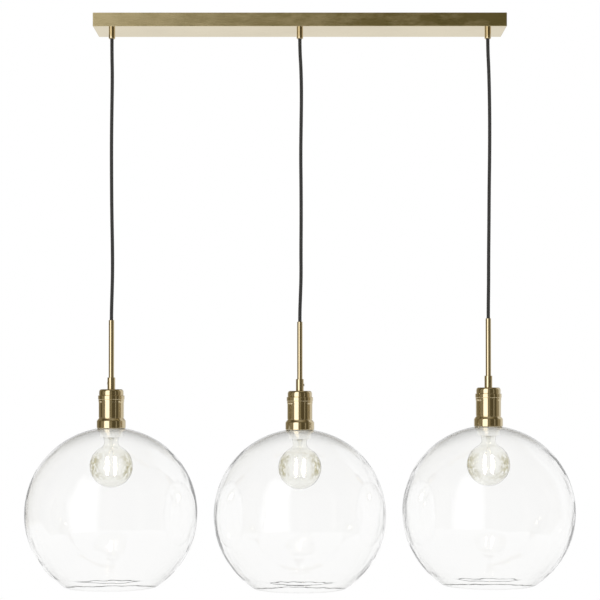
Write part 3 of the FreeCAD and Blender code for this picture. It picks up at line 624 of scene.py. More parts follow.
    @classmethod
    def _soft_window(cls) -> bpy.types.NodeTree:
        """A soft-edged bright panel on the studio's surround: a mask.

        Returns:
            The group.
        """
        bench, given = cls._start(
            "soft_window",
            {
                "Bearing": 0.0, "Height": 0.0, "Centre": 0.0, "Half Width": 0.3,
                "Middle": 0.0, "Half Height": 0.3, "Edge": 0.1,
            },
            "Mask",
        )
        turn = bench.math("COSINE", bench.less(given["Bearing"], given["Centre"]))
        wide = bench.math("ARCCOSINE", turn)
        high = bench.math("ABSOLUTE", bench.less(given["Height"], given["Middle"]))
        fade = bench.times(given["Edge"], 2.0)
        sides = []
        for distance, half in ((wide, "Half Width"), (high, "Half Height")):
            inside = bench.plus(bench.less(given[half], distance), given["Edge"])
            sides.append(bench.math("DIVIDE", inside, fade, clamp=True))
        return cls._finish(bench, {"Mask": bench.ramp(bench.times(*sides), 0.0, 1.0)})


@dataclass(frozen=True)
class Finish:
    """A finish with its slot name, the base of all finishes."""

    slot: str

    def material(self) -> bpy.types.Material:
        """Finds the finish's material, and builds it the first time.

        Returns:
            The material.
        """
        name = f"{self.slot}_finish"
        known = bpy.data.materials.get(name)
        if known:
            return known
        material, bench, shader = NodeBench.material(name)
        self.dress(bench, shader)
        return material

    def dress(self, bench: NodeBench, shader: Node) -> None:
        """Joins the finish's own nodes to its shader.

        Args:
            bench: the material's nodes.
            shader: its shader.
        """
        raise NotImplementedError

    def put_on(self, *pieces: Piece) -> None:
        """Puts the material in the slots of each piece.

        Args:
            pieces: the pieces that get the finish.
        """
        material = self.material()
        for piece in pieces:
            if not piece.material_slots:
                piece.data.materials.append(material)
            for place in piece.material_slots:
                place.material = material

    @staticmethod
    def bump(
        bench: NodeBench, shader: Node, height: Socket, depth: float, strength: object = 1.0
    ) -> None:
        """Feeds the shader's normal from a height, depth in metres."""
        relief = {"Height": height, "Distance": depth, "Strength": strength}
        bench.feed(shader, {"Normal": bench.add("ShaderNodeBump", relief).outputs[0]})


@dataclass(frozen=True)
class Metal(Finish):
    """Bare or plated metal with drawn lines and light stains.

    Attributes:
        amount: how much is stained.
        scale: how fine the stains are.
        stretch: how fine the drawn lines are along each axis.
        roughness: lowest and highest roughness.
        depth: depth of the lines.
        dulling: roughness that a full stain adds.
    """

    bright: Colour
    stain: Colour
    amount: float = 0.3
    scale: float = 16.0
    stretch: Point = (60.0, 60.0, 2600.0)
    roughness: Range = (0.1, 0.2)
    depth: float = 0.000004
    dulling: float = 0.08

    def dress(self, bench: NodeBench, shader: Node) -> None:
        """Joins stains to the colour, and lines to roughness and normal.

        Args:
            bench: the material's nodes.
            shader: its shader.
        """
        patina = bench.group("patina", {
            "Vector": bench.place(), "Bright": self.bright, "Stain": self.stain,
            "Amount": self.amount, "Scale": self.scale,
        })
        lines = bench.group("drawn_lines", {"Vector": bench.place(self.stretch)})
        rough = bench.ramp(lines["Streak"], 0.0, 1.0, *self.roughness)
        rough = bench.plus(rough, bench.times(patina["Mask"], self.dulling), clamp=True)
        colour, rough = self.tint(bench, patina["Color"], rough)
        bench.feed(shader, {"Base Color": colour, "Roughness": rough, "Metallic": 1.0})
        self.bump(bench, shader, lines["Height"], self.depth)

    def tint(self, bench: NodeBench, colour: Socket, rough: Socket) -> tuple[Socket, Socket]:
        """Returns the colour and roughness as they are."""
        return colour, rough


@dataclass(frozen=True)
class CanopyBrass(Metal):
    """The canopy's sheet: satin brushed sides and a polished underside.

    Attributes:
        polished: lowest and highest roughness of the underside.
        aged: painted shade, a darker colour that the sides carry more of towards the right end,
            where less light falls.
        right_shade_share: share of that painted shade at the left and right end.
        patchy: least and greatest factor of that share from place to place, so the painted shade
            lies in uneven patches.
        underside: levelness at which the sides pass into the underside.
    """

    polished: Range = (0.07, 0.13)
    # painted shade: the sides darken towards the right end, where less light falls
    aged: Colour = (0.28, 0.23, 0.095, 1.0)
    right_shade_share: Range = (0.32, 0.95)
    patchy: Range = (0.40, 1.45)
    half_length: float = 0.380
    underside: Range = (0.35, 0.75)

    def tint(self, bench: NodeBench, colour: Socket, rough: Socket) -> tuple[Socket, Socket]:
        """Adds the painted shade along the sides, more towards the right end, and the polish
        underneath.

        Args:
            bench: the material's nodes.
            colour: the stained colour.
            rough: the brushed roughness.

        Returns:
            The colour and the roughness.
        """
        flat = bench.ramp(bench.levelness(), *self.underside)
        sides = bench.less(1.0, flat)
        where = bench.split(bench.place())["X"]
        # painted shade, growing towards the right end in uneven patches
        along = bench.ramp(where, -self.half_length, self.half_length, *self.right_shade_share)
        cloud = bench.noise(bench.place((1.0, 1.0, 2.4)), 17.0, 6.0, 0.68)
        share = bench.times(along, bench.ramp(cloud, 0.34, 0.66, *self.patchy), clamp=True)
        colour = bench.mix(bench.times(share, sides), colour, self.aged)
        fine = bench.noise(bench.place((30.0, 400.0, 30.0)), 3.0, 2.0, 0.5)
        fine = bench.ramp(fine, 0.3, 0.7, *self.polished)
        return colour, bench.plus(bench.times(rough, sides), bench.times(fine, flat))


@dataclass(frozen=True)
class Plastic(Finish):
    """Moulded plastic with a fine grain and small scuffs.

    Attributes:
        shade: the colour that its tone mottles towards.
        glow: strength of painted light, an emission that makes it look as if lamp light shows
            through it.
    """

    tone: Colour
    shade: Colour
    roughness: Range
    grain: float = 1500.0
    depth: float = 0.00003
    glow: float = 0.0

    def dress(self, bench: NodeBench, shader: Node) -> None:
        """Joins the moulded skin to colour, roughness and normal.

        Args:
            bench: the material's nodes.
            shader: its shader.
        """
        skin = bench.group("moulded_skin", {
            "Vector": bench.place(), "Tone": self.tone, "Shade": self.shade,
            "Grain": self.grain,
        })
        rough = bench.ramp(skin["Scuff"], 0.0, 1.0, *self.roughness)
        bench.feed(shader, {"Base Color": skin["Color"], "Roughness": rough})
        # painted light: an emission that makes the plastic look lit through by the lamp
        if self.glow:
            bench.feed(
                shader, {"Emission Color": skin["Color"], "Emission Strength": self.glow}
            )
        self.bump(bench, shader, skin["Height"], self.depth)


@dataclass(frozen=True)
class Textile(Finish):
    """The plaited textile sleeve of the cords.

    Attributes:
        on_piece: the plait follows the piece's own map, or else its place.
        around: strands round the cord.
        along: strands per unit along it.
        yarn: colour of the raised strands, with shadow between them.
    """

    on_piece: bool = True
    around: float = 8.0
    along: float = PLAIT_PER_METRE
    yarn: Colour = (0.045, 0.043, 0.041, 1.0)
    shadow: Colour = (0.012, 0.012, 0.011, 1.0)
    depth: float = 0.00012

    def dress(self, bench: NodeBench, shader: Node) -> None:
        """Joins the plait to colour, roughness and normal.

        Args:
            bench: the material's nodes.
            shader: its shader.
        """
        if self.on_piece:
            where = bench.add("ShaderNodeTexCoord").outputs["UV"]
        else:
            where = bench.place(turn=(math.radians(90), 0.0, 0.6))
        plait = bench.group(
            "plait", {"Vector": where, "Around": self.around, "Along": self.along}
        )
        share = bench.plus(
            bench.times(plait["Height"], 0.7), bench.times(plait["Fibre"], 0.5), clamp=True
        )
        bench.feed(shader, {
            "Base Color": bench.mix(share, self.shadow, self.yarn),
            "Roughness": bench.ramp(plait["Fibre"], 0.3, 0.7, 0.78, 0.95),
            "Sheen Weight": 0.12, "Sheen Roughness": 0.5,
        })
        height = bench.plus(plait["Height"], bench.times(plait["Fibre"], 0.3))
        self.bump(bench, shader, height, self.depth, 0.7)


@dataclass(frozen=True)
class Glass(Finish):
    """Clear blown glass, slightly grey, with a slow swell in it.

    Attributes:
        tint: its colour face-on, through both faces of a wall.
        swell: how fine the swell is, with a share of drawn streaks.
        edge: its colour on edge, which begins edge_start from face-on.
        lets_through: how much lamp light passes one face of a wall.
        smoke: colour of its smoky patches, or None for none.
        smoke_reach: distances from the height smoke_middle where they end.
        smoke_turn: how far from face-on they begin and are full.
        crest_shade: painted shade, a darker edge colour high on the glass, or None for no
            change.
        crest_reach: heights between which it takes over.
        calm_reach: levelness between which the swell dies away to calm.
    """

    tint: Colour
    swell: float
    streaks: float
    depth: float
    edge: Colour
    ior: float = 1.46
    lets_through: Colour = (0.975, 0.975, 0.975, 1.0)
    smoke: Colour | None = None
    smoke_middle: float = 0.0
    smoke_reach: Range = (0.010, 0.030)
    smoke_turn: Range = (0.06, 0.38)
    edge_start: float = 0.45
    crest_shade: Colour | None = None
    crest_reach: Range = (-0.818, -0.786)
    calm_reach: Range = (0.68, 0.80)
    calm: float = 0.05

    def dress(self, bench: NodeBench, shader: Node) -> None:
        """Sets the glass, joins the swell to its normal and lets shadow rays by.

        Args:
            bench: the material's nodes.
            shader: its shader.
        """
        waver = bench.group("blown_waver", {
            "Vector": bench.place(), "Swell": self.swell, "Streaks": self.streaks,
        })
        calm = bench.ramp(bench.levelness(), *self.calm_reach, 1.0, self.calm)
        self.bump(bench, shader, waver["Height"], self.depth, calm)
        bench.feed(shader, {
            "Base Color": self.body_colour(bench), "Transmission Weight": 1.0,
            "Roughness": 0.0, "IOR": self.ior,
        })
        clear = bench.add("ShaderNodeBsdfTransparent", {"Color": self.lets_through})
        shadow = bench.add("ShaderNodeLightPath").outputs["Is Shadow Ray"]
        bench.surface(bench.blend(shadow, shader, clear))

    def body_colour(self, bench: NodeBench) -> Socket:
        """Mixes the tint with its edge, the painted shade of its crest and smoky patches.

        Args:
            bench: the material's nodes.

        Returns:
            The colour.
        """
        turned = bench.add("ShaderNodeLayerWeight", {"Blend": 0.5}).outputs["Facing"]
        edge: object = self.edge
        # painted shade: the glass's edge turns darker high up
        if self.crest_shade is not None:
            height = bench.split(bench.place())["Z"]
            edge = bench.mix(bench.ramp(height, *self.crest_reach), self.edge, self.crest_shade)
        colour = bench.mix(bench.ramp(turned, self.edge_start, 1.0), self.tint, edge)
        if self.smoke is None:
            return colour
        cloud = bench.noise(bench.place((1.0, 1.0, 0.8)), 150.0, 3.0, 0.7)
        height = bench.split(bench.place(shift=(0.0, 0.0, self.smoke_middle)))["Z"]
        band = bench.ramp(bench.math("ABSOLUTE", height), *self.smoke_reach, 1.0, 0.0)
        share = bench.times(bench.ramp(cloud, 0.40, 0.60), band)
        share = bench.times(share, bench.ramp(turned, *self.smoke_turn))
        return bench.mix(share, colour, self.smoke)


@dataclass(frozen=True)
class Glow(Finish):
    """The warm white coating of the lamp's light sticks.

    Attributes:
        coat: its colour when off.
        light: its colour when lit.
        thin_coat: share of the first where the coating is thin.
        thin_light: share of the second there.
    """

    coat: Colour
    light: Colour
    strength: float
    thin_coat: float = 0.8
    thin_light: float = 0.85
    depth: float = 0.00004

    def dress(self, bench: NodeBench, shader: Node) -> None:
        """Joins a slightly uneven coating to colour and light.

        Args:
            bench: the material's nodes.
            shader: its shader.
        """
        grain = bench.noise(bench.place(), 700.0, 2.0, 0.5)
        share = bench.ramp(grain, 0.3, 0.7)
        for name, full, thin in (
            ("Base Color", self.coat, self.thin_coat),
            ("Emission Color", self.light, self.thin_light),
        ):
            dimmer = tuple(part * thin for part in full[:3]) + (1.0,)
            bench.feed(shader, {name: bench.mix(share, dimmer, full)})
        bench.feed(shader, {"Emission Strength": self.strength, "Roughness": 0.5})
        self.bump(bench, shader, grain, self.depth)


BRASS = (0.64, 0.54, 0.355, 1.0)
BRASS_STAIN = (0.47, 0.36, 0.19, 1.0)
FINISHES = {
    finish.slot: finish
    for finish in (
        CanopyBrass("canopy_brass", (0.61, 0.515, 0.31, 1.0), (0.47, 0.38, 0.20, 1.0), 0.35,
                    9.0, (9.0, 2200.0, 2200.0), (0.25, 0.33), 0.000003),
        Metal("fitting_brass", BRASS, BRASS_STAIN, 0.22, 30.0, (50.0, 50.0, 2600.0),
              (0.07, 0.14), 0.000003),
        Metal("canopy_screw_brass", BRASS, BRASS_STAIN, 0.3, 90.0, (900.0, 900.0, 900.0),
              (0.16, 0.3)),
        Metal("contact_brass", (0.74, 0.58, 0.30, 1.0), (0.5, 0.36, 0.15, 1.0), 0.3, 120.0,
              (800.0, 800.0, 800.0), (0.18, 0.32)),
        Metal("bracket_steel", (0.60, 0.61, 0.62, 1.0), (0.42, 0.42, 0.40, 1.0), 0.5, 22.0,
              (30.0, 700.0, 700.0), (0.28, 0.42), 0.00001),
        Metal("screw_steel", (0.64, 0.64, 0.63, 1.0), (0.44, 0.43, 0.40, 1.0), 0.35, 120.0,
              (900.0, 900.0, 900.0), (0.2, 0.36)),
        Metal("cap_metal", (0.70, 0.70, 0.69, 1.0), (0.5, 0.49, 0.46, 1.0), 0.3, 80.0,
              (80.0, 80.0, 1800.0), (0.14, 0.26)),
        Plastic("terminal_plastic", (0.76, 0.74, 0.68, 1.0), (0.68, 0.65, 0.57, 1.0),
                (0.4, 0.55)),
        Plastic("holder_plastic", (0.78, 0.77, 0.73, 1.0), (0.70, 0.69, 0.64, 1.0),
                (0.3, 0.45)),
        # painted light: the shade ring's glow stands in for lamp light passing through it
        Plastic("ring_plastic", (0.91, 0.91, 0.89, 1.0), (0.86, 0.86, 0.84, 1.0),
                (0.28, 0.42), glow=0.17),
        Plastic("collet_nylon", (0.05, 0.05, 0.05, 1.0), (0.03, 0.03, 0.03, 1.0),
                (0.35, 0.5)),
        Textile("cord_textile"),
        Textile("cord_textile_inside", on_piece=False, around=380.0, along=380.0),
        Glass("globe_glass", (0.987, 0.987, 0.984, 1.0), 15.0, 0.25, 0.0017,
              (0.93, 0.93, 0.925, 1.0), crest_shade=(0.40, 0.40, 0.40, 1.0)),
        Glass("lamp_glass", (0.97, 0.97, 0.95, 1.0), 75.0, 0.6, 0.0005,
              (0.90, 0.90, 0.88, 1.0), ior=1.48, smoke=(0.47, 0.43, 0.25, 1.0),
              smoke_middle=-0.8335),
        Glow("light_sticks", (0.85, 0.70, 0.36, 1.0), (1.0, 0.90, 0.72, 1.0), 20.0),
    )
}


# ---------------------------------------------------------------- the studio


@dataclass(frozen=True)
class PhotoCamera:
    """The camera at the photograph's viewing angle.

    Attributes:
        pitch: how far it looks up.
        yaw: how far it looks to the right.
        shift: upward shift of the frame.
        reach: how far it sees.
    """

    place: Point = (0.0043, -3.2035, -0.6888)
    pitch: float = 0.01625
    yaw: float = -0.00125
    lens: float = 103.52
    shift: float = 0.10
    reach: float = 60.0

    def build(self) -> None:
        """Adds the camera and makes it the scene's own."""
        data = bpy.data.cameras.new("photo_camera")
        data.lens = self.lens
        data.shift_y = self.shift
        data.clip_end = self.reach
        camera = bpy.data.objects.new("photo_camera", data)
        camera.location = self.place
        camera.rotation_euler = (math.radians(90) + self.pitch, 0.0, -self.yaw)
        bpy.context.scene.collection.objects.link(camera)
        bpy.context.scene.camera = camera


@dataclass(frozen=True)
class SoftLamp:
    """A soft square lamp that looks at the pendants' middle, in metres and watts."""

    name: str
    place: Point
    size: float
    power: float
    aim: Point = (0.0, 0.0, -0.65)

    def build(self) -> None:
        """Adds the lamp, unseen by gloss and glass."""
        data = bpy.data.lights.new(self.name, "AREA")
        data.size = self.size
        data.energy = self.power
        lamp = bpy.data.objects.new(self.name, data)
        lamp.location = self.place
        aim = Vector(self.aim) - Vector(self.place)
        lamp.rotation_euler = aim.to_track_quat("-Z", "Y").to_euler()
        lamp.visible_glossy = lamp.visible_transmission = False
        bpy.context.scene.collection.objects.link(lamp)


@dataclass(frozen=True)
class SoftWindow:
    """A bright panel of the surround, in degrees, and the light that it adds.

    Attributes:
        bearing: its centre, from the camera's side to the left.
        middle: its middle height above the horizon.
        edge: how soft its edge is.
    """

    bearing: float
    half_width: float
    middle: float
    half_height: float
    edge: float
    light: float

    def shine(self, bench: NodeBench, bearing: Socket, height: Socket) -> Socket:
        """Returns the light that the panel adds at a bearing and height."""
        mask = bench.group("soft_window", {
            "Bearing": bearing, "Height": height, "Centre": math.radians(self.bearing),
            "Half Width": math.radians(self.half_width), "Middle": math.radians(self.middle),
            "Half Height": math.radians(self.half_height), "Edge": math.radians(self.edge),
        })
        return bench.times(mask["Mask"], self.light)


@dataclass(frozen=True)
class Studio:
    """A plain pale studio: floor, soft lamps and what gloss reflects.

    Attributes:
        floor_fade: shares of its radius between which the floor turns white.
        surround_radius: radius of the shell that only gloss sees.
        surround_middle: height of the shell's horizon.
        dim: brightness of the shell's walls.
        ceiling: brightness of the shell straight above.
        ceiling_rise: degrees up between which that is reached.
        cloth: colour of the shell's dim parts.
        horizon_fade: degrees up between which the shell turns white below.
        front_drop: degrees by which that lies lower at the front.
        white_below: brightness of the shell there.
        ambient: brightness of the world's diffuse light.
        glass_bounces: glass faces that a ray may pass, for three globes in line.
    """

    lamps: tuple[SoftLamp, ...] = (
        SoftLamp("key_lamp", (-2.1, -2.4, 0.9), 1.8, 26.0),
        SoftLamp("fill_lamp", (2.4, -1.6, -0.1), 1.8, 9.0),
        SoftLamp("top_lamp", (0.3, 0.8, 1.6), 2.2, 16.0),
    )
    floor_height: float = -1.85
    floor_radius: float = 2.9
    floor_fade: Range = (0.3, 0.97)
    surround_radius: float = 25.0
    surround_middle: float = -0.55
    dim: float = 0.12
    ceiling: float = 0.6
    ceiling_rise: Range = (48.0, 82.0)
    cloth: Colour = (1.0, 0.87, 0.52, 1.0)
    horizon_fade: Range = (-5.0, -11.0)
    front_drop: float = 15.0
    white_below: float = 1.02
    windows: tuple[SoftWindow, ...] = (
        SoftWindow(32.0, 20.0, 6.0, 40.0, 6.0, 2.1),
        SoftWindow(72.0, 14.0, 4.0, 30.0, 6.0, 0.22),
        SoftWindow(-3.0, 6.0, 4.0, 26.0, 6.0, 0.24),
        SoftWindow(-46.0, 3.0, 4.0, 30.0, 3.0, 0.40),
        SoftWindow(-96.0, 22.0, 4.0, 34.0, 8.0, 0.26),
        SoftWindow(-130.0, 22.0, 4.0, 42.0, 8.0, 0.70),
        SoftWindow(130.0, 24.0, 4.0, 42.0, 8.0, 0.17),
        SoftWindow(180.0, 32.0, 0.0, 18.0, 8.0, 0.66),
    )
    ambient: float = 0.82
    glass_bounces: int = 40

    def build(self) -> None:
        """Builds the world, floor, surround and lamps."""
        bpy.context.scene.view_settings.view_transform = "Standard"
        paths = bpy.context.scene.cycles
        paths.max_bounces = paths.transmission_bounces = self.glass_bounces
        self._world()
        self._floor()
        self._surround()
        for lamp in self.lamps:
            lamp.build()

    def _world(self) -> None:
        """White to the eye, gloss and glass; a plain level for the rest."""
        world = bpy.data.worlds.new("studio_world")
        bpy.context.scene.world = world
        world.use_nodes = True
        bench = NodeBench(world.node_tree)
        level = (self.ambient, self.ambient, self.ambient * 0.99, 1.0)
        colour = bench.mix(bench.looked_at(), level, WHITE)
        bench.feed(world.node_tree.nodes["Background"], {"Color": colour})

    def _floor(self) -> None:
        """A pale round floor that fades to white at its edge."""
        Workbench.clear()
        bpy.ops.mesh.primitive_circle_add(
            vertices=96, radius=self.floor_radius, fill_type="NGON",
            location=(0, 0, self.floor_height),
        )
        floor = Workbench.settle(bpy.context.object, "studio_floor")
        material, bench, paint = NodeBench.material("studio_floor_paint")
        cloud = bench.ramp(bench.noise(bench.place(), 1.5, 3.0), 0.3, 0.7)
        tone = bench.mix(cloud, (0.80, 0.80, 0.80, 1.0), (0.83, 0.83, 0.82, 1.0))
        bench.feed(paint, {"Base Color": tone, "Roughness": 0.9})
        flat = bench.place((1.0, 1.0, 0.0))
        reach = bench.add("ShaderNodeVectorMath", {0: flat}, operation="LENGTH")
        start, end = (self.floor_radius * share for share in self.floor_fade)
        fade = bench.ramp(reach.outputs["Value"], start, end)
        white = bench.add("ShaderNodeEmission", {"Strength": 1.0})
        faded = bench.blend(bench.times(bench.looked_at(), fade), paint, white)
        under = bench.add("ShaderNodeBsdfTransparent")
        back = bench.add("ShaderNodeNewGeometry").outputs["Backfacing"]
        bench.surface(bench.blend(back, faded, under))
        floor.data.materials.append(material)

    def _surround(self) -> None:
        """The shell that only gloss sees: grey walls with bright panels."""
        Workbench.clear()
        bpy.ops.mesh.primitive_uv_sphere_add(
            segments=48, ring_count=24, radius=self.surround_radius
        )
        shell = bpy.context.object
        Workbench.edit(shell)
        bpy.ops.mesh.flip_normals()
        Workbench.settle(shell, "studio_surround")
        shell.visible_camera = shell.visible_diffuse = shell.visible_shadow = False
        shell.visible_transmission = shell.visible_volume_scatter = False
        material, bench, _ = NodeBench.material("studio_surround_cloth")
        material.cycles.emission_sampling = "NONE"
        part = bench.split(bench.place(shift=(0.0, 0.0, self.surround_middle)))
        bearing = bench.math(
            "ARCTAN2", bench.times(part["X"], -1.0), bench.times(part["Y"], -1.0)
        )
        sine = bench.math("DIVIDE", part["Z"], self.surround_radius * 1.05)
        height = bench.math("ARCSINE", sine)
        light = bench.ramp(
            height, *map(math.radians, self.ceiling_rise), self.dim, self.ceiling
        )
        for window in self.windows:
            light = bench.plus(light, window.shine(bench, bearing, height))
        warm = bench.mix(bench.ramp(light, self.dim, self.dim * 6.0), self.cloth, WHITE)
        ahead = bench.math("COSINE", bearing)
        front = bench.ramp(ahead, -0.2, 0.2, 0.0, math.radians(self.front_drop))
        below = bench.ramp(bench.plus(height, front), *map(math.radians, self.horizon_fade))
        light = bench.plus(light, bench.times(below, bench.less(self.white_below, light)))
        glow = bench.add(
            "ShaderNodeEmission", {"Color": bench.mix(below, warm, WHITE), "Strength": light}
        )
        bench.surface(glow)
        shell.data.materials.append(material)


# ---------------------------------------------------------------- the pieces


@dataclass(frozen=True)
class Cord:
    """One free textile cord, from its gland down into the stem.

    Attributes:
        wander: share of the free drop, and how far aside and ahead in
            millimetres, of each point of the route.
        spare: free drop from the gland's mouth to the stem's top.
        length: the real length of the free part; not used.
        pivot: height of the ball's centre, where the cord begins.
        bottom: height of the left cord's end.
        corners: corners of the sleeve to each strand.
        relief: depth of the plait.
    """

    side: Side
    wander: tuple[Point, ...]
    spare: float
    length: float
    diameter: float = 0.0065
    pivot: float = -0.0360
    mouth: float = -0.0385
    bottom: float = -0.5687
    strands: int = 8
    corners: int = 4
    rings_per_metre: float = 1760.0
    relief: float = 0.00016

    def route(self) -> list[Point]:
        """Lists the control points, the same as the tube's own.

        Returns:
            The points.
        """
        hang = HANGS[self.side]
        points = [(hang.x, 0.0, self.pivot)]
        for share, aside, ahead in self.wander:
            drop = self.mouth - share * self.spare
            points.append((hang.x + aside / 1000, ahead / 1000, drop))
        points.append((hang.x, 0.0, self.bottom + hang.lift))
        return points

    def centreline(self) -> list[Vector]:
        """Draws the spline through the route and reads its line.

        Returns:
            The line's points.
        """
        curve = bpy.data.curves.new("cord_line", "CURVE")
        curve.dimensions = "3D"
        curve.resolution_u = 64
        spline = curve.splines.new("NURBS")
        route = self.route()
        spline.points.add(len(route) - 1)
        for point, place in zip(spline.points, route):
            point.co = (*place, 1.0)
        spline.order_u = 3
        spline.use_endpoint_u = True
        holder = bpy.data.objects.new("cord_line", curve)
        bpy.context.scene.collection.objects.link(holder)
        bpy.context.view_layer.update()
        mesh = bpy.data.meshes.new_from_object(holder)
        line = [vertex.co.copy() for vertex in mesh.vertices]
        bpy.data.objects.remove(holder)
        bpy.data.curves.remove(curve)
        bpy.data.meshes.remove(mesh)
        return line

    def ring(
        self, centre: Vector, down: Vector, length: float, around: int
    ) -> list[Vector]:
        """Returns the corners of one ring of the plaited sleeve.

        Args:
            centre: the ring's centre.
            down: the cord's direction there.
            length: cord from its start to there.
            around: corners round the cord.

        Returns:
            The places of the corners.
        """
        across = down.cross(Vector((0, 1, 0))).normalized()
        ahead = across.cross(down)
        corners = []
        for corner in range(around):
            turn = corner / around
            aside, along = turn * self.strands, length * PLAIT_PER_METRE
            weave = math.sin(math.pi * (aside + along)) * math.sin(math.pi * (aside - along))
            radius = self.diameter / 2 - self.relief * (1.0 - abs(weave) ** 0.5)
            angle = math.tau * turn
            out = math.cos(angle) * across + math.sin(angle) * ahead
            corners.append(centre + radius * out)
        return corners

    def sleeve(self, line: list[Vector], name: str) -> bpy.types.Mesh:
        """Plaits the sleeve along a line, with turn and length in its map.

        Args:
            line: the cord's middle line.
            name: the mesh's name.

        Returns:
            The closed sleeve.
        """
        reach = [0.0]
        for before, after in zip(line, line[1:]):
            reach.append(reach[-1] + (after - before).length)
        count = int(reach[-1] * self.rings_per_metre)
        around = self.strands * self.corners
        mesh = bmesh.new()
        maps = mesh.loops.layers.uv.new("sleeve")
        rows: list[list[bmesh.types.BMVert]] = []
        at = 0
        for ring in range(count + 1):
            length = reach[-1] * ring / count
            while at < len(line) - 2 and reach[at + 1] < length:
                at += 1
            step = (length - reach[at]) / max(reach[at + 1] - reach[at], TINY)
            centre = line[at].lerp(line[at + 1], step)
            down = (line[at + 1] - line[at]).normalized()
            corners = self.ring(centre, down, length, around)
            rows.append([mesh.verts.new(corner) for corner in corners])
        for ring, (row, below) in enumerate(zip(rows, rows[1:])):
            for corner in range(around):
                follow = (corner + 1) % around
                face = mesh.faces.new((row[corner], row[follow], below[follow], below[corner]))
                face.smooth = True
                marks = ((0, 0), (1, 0), (1, 1), (0, 1))
                for loop, (aside, along) in zip(face.loops, marks):
                    length = reach[-1] * (ring + along) / count
                    loop[maps].uv = ((corner + aside) / around, length)
        for row in (rows[0], rows[-1]):
            mesh.faces.new(row)
        bmesh.ops.recalc_face_normals(mesh, faces=mesh.faces)
        data = bpy.data.meshes.new(name)
        mesh.to_mesh(data)
        mesh.free()
        return data

    def build(self) -> None:
        line = self.centreline()
        side = self.side.value
        name = f"{side}_plaited_cord"
        cord = bpy.data.objects.new(name, self.sleeve(line, name))
        bpy.context.scene.collection.objects.link(cord)
        FINISHES["cord_textile"].put_on(cord)
        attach(cord, f"{side}_hanging_cord")
        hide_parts(f"{side}_cord")
        log.info("%s: %d faces", name, len(cord.data.polygons))


CORDS = (
    Cord(
        Side.LEFT,
        ((0.05, 0, 0), (0.14, 0.9, 0.5), (0.26, -0.1, 0.9), (0.38, -0.6, 0.4),
         (0.50, -0.2, -0.4), (0.62, 0.4, -0.8), (0.74, 1.7, -0.5), (0.83, 1.9, 0.1),
         (0.91, 0.9, 0.3), (0.97, 0, 0)),
        spare=0.5242, length=0.5328,
    ),
    Cord(
        Side.MIDDLE,
        ((0.04, 0, 0), (0.11, 2.3, -0.4), (0.20, 3.1, -0.8), (0.30, 2.4, -0.6),
         (0.41, 1.6, 0.1), (0.52, 2.3, 0.7), (0.64, 2.5, 0.6), (0.75, 2.0, 0),
         (0.84, 2.4, -0.5), (0.92, 0.9, -0.3), (0.97, 0, 0)),
        spare=0.5272, length=0.5358,
    ),
    Cord(
        Side.RIGHT,
        ((0.04, 0, 0), (0.10, 1.6, 0.3), (0.19, 2.9, 0.9), (0.30, 3.5, 1.0),
         (0.42, 3.1, 0.3), (0.54, 2.0, -0.5), (0.66, 1.5, -0.9), (0.78, 0.8, -0.5),
         (0.88, 0.7, 0.2), (0.96, 0, 0)),
        spare=0.5209, length=0.5295,
    ),
)


class HangingSet:
    """Pieces that each pendant has, modelled once and copied."""

    @staticmethod
    def hang(master: Piece, body: str, node: str, slot: str) -> None:
        """Copies a piece to the three pendants and removes the master.

        Args:
            master: the piece, round the Z axis, at the left pendant's height.
            body: the end of the name of the body that it rides on.
            node: the end of the name of the part that it stands for, or none.
            slot: its finish.
        """
        for side, hang in HANGS.items():
            move = Matrix.Translation((hang.x, 0.0, hang.lift))
            copy = Workbench.again(master, f"{side.value}_{master.name}", move)
            FINISHES[slot].put_on(copy)
            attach(copy, f"{side.value}_{body}")
            if node:
                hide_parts(f"{side.value}_{node}")
            copy.visible_diffuse = not slot.endswith("_glass")
            log.info("%s: %d faces", copy.name, len(copy.data.polygons))
        bpy.data.objects.remove(master)


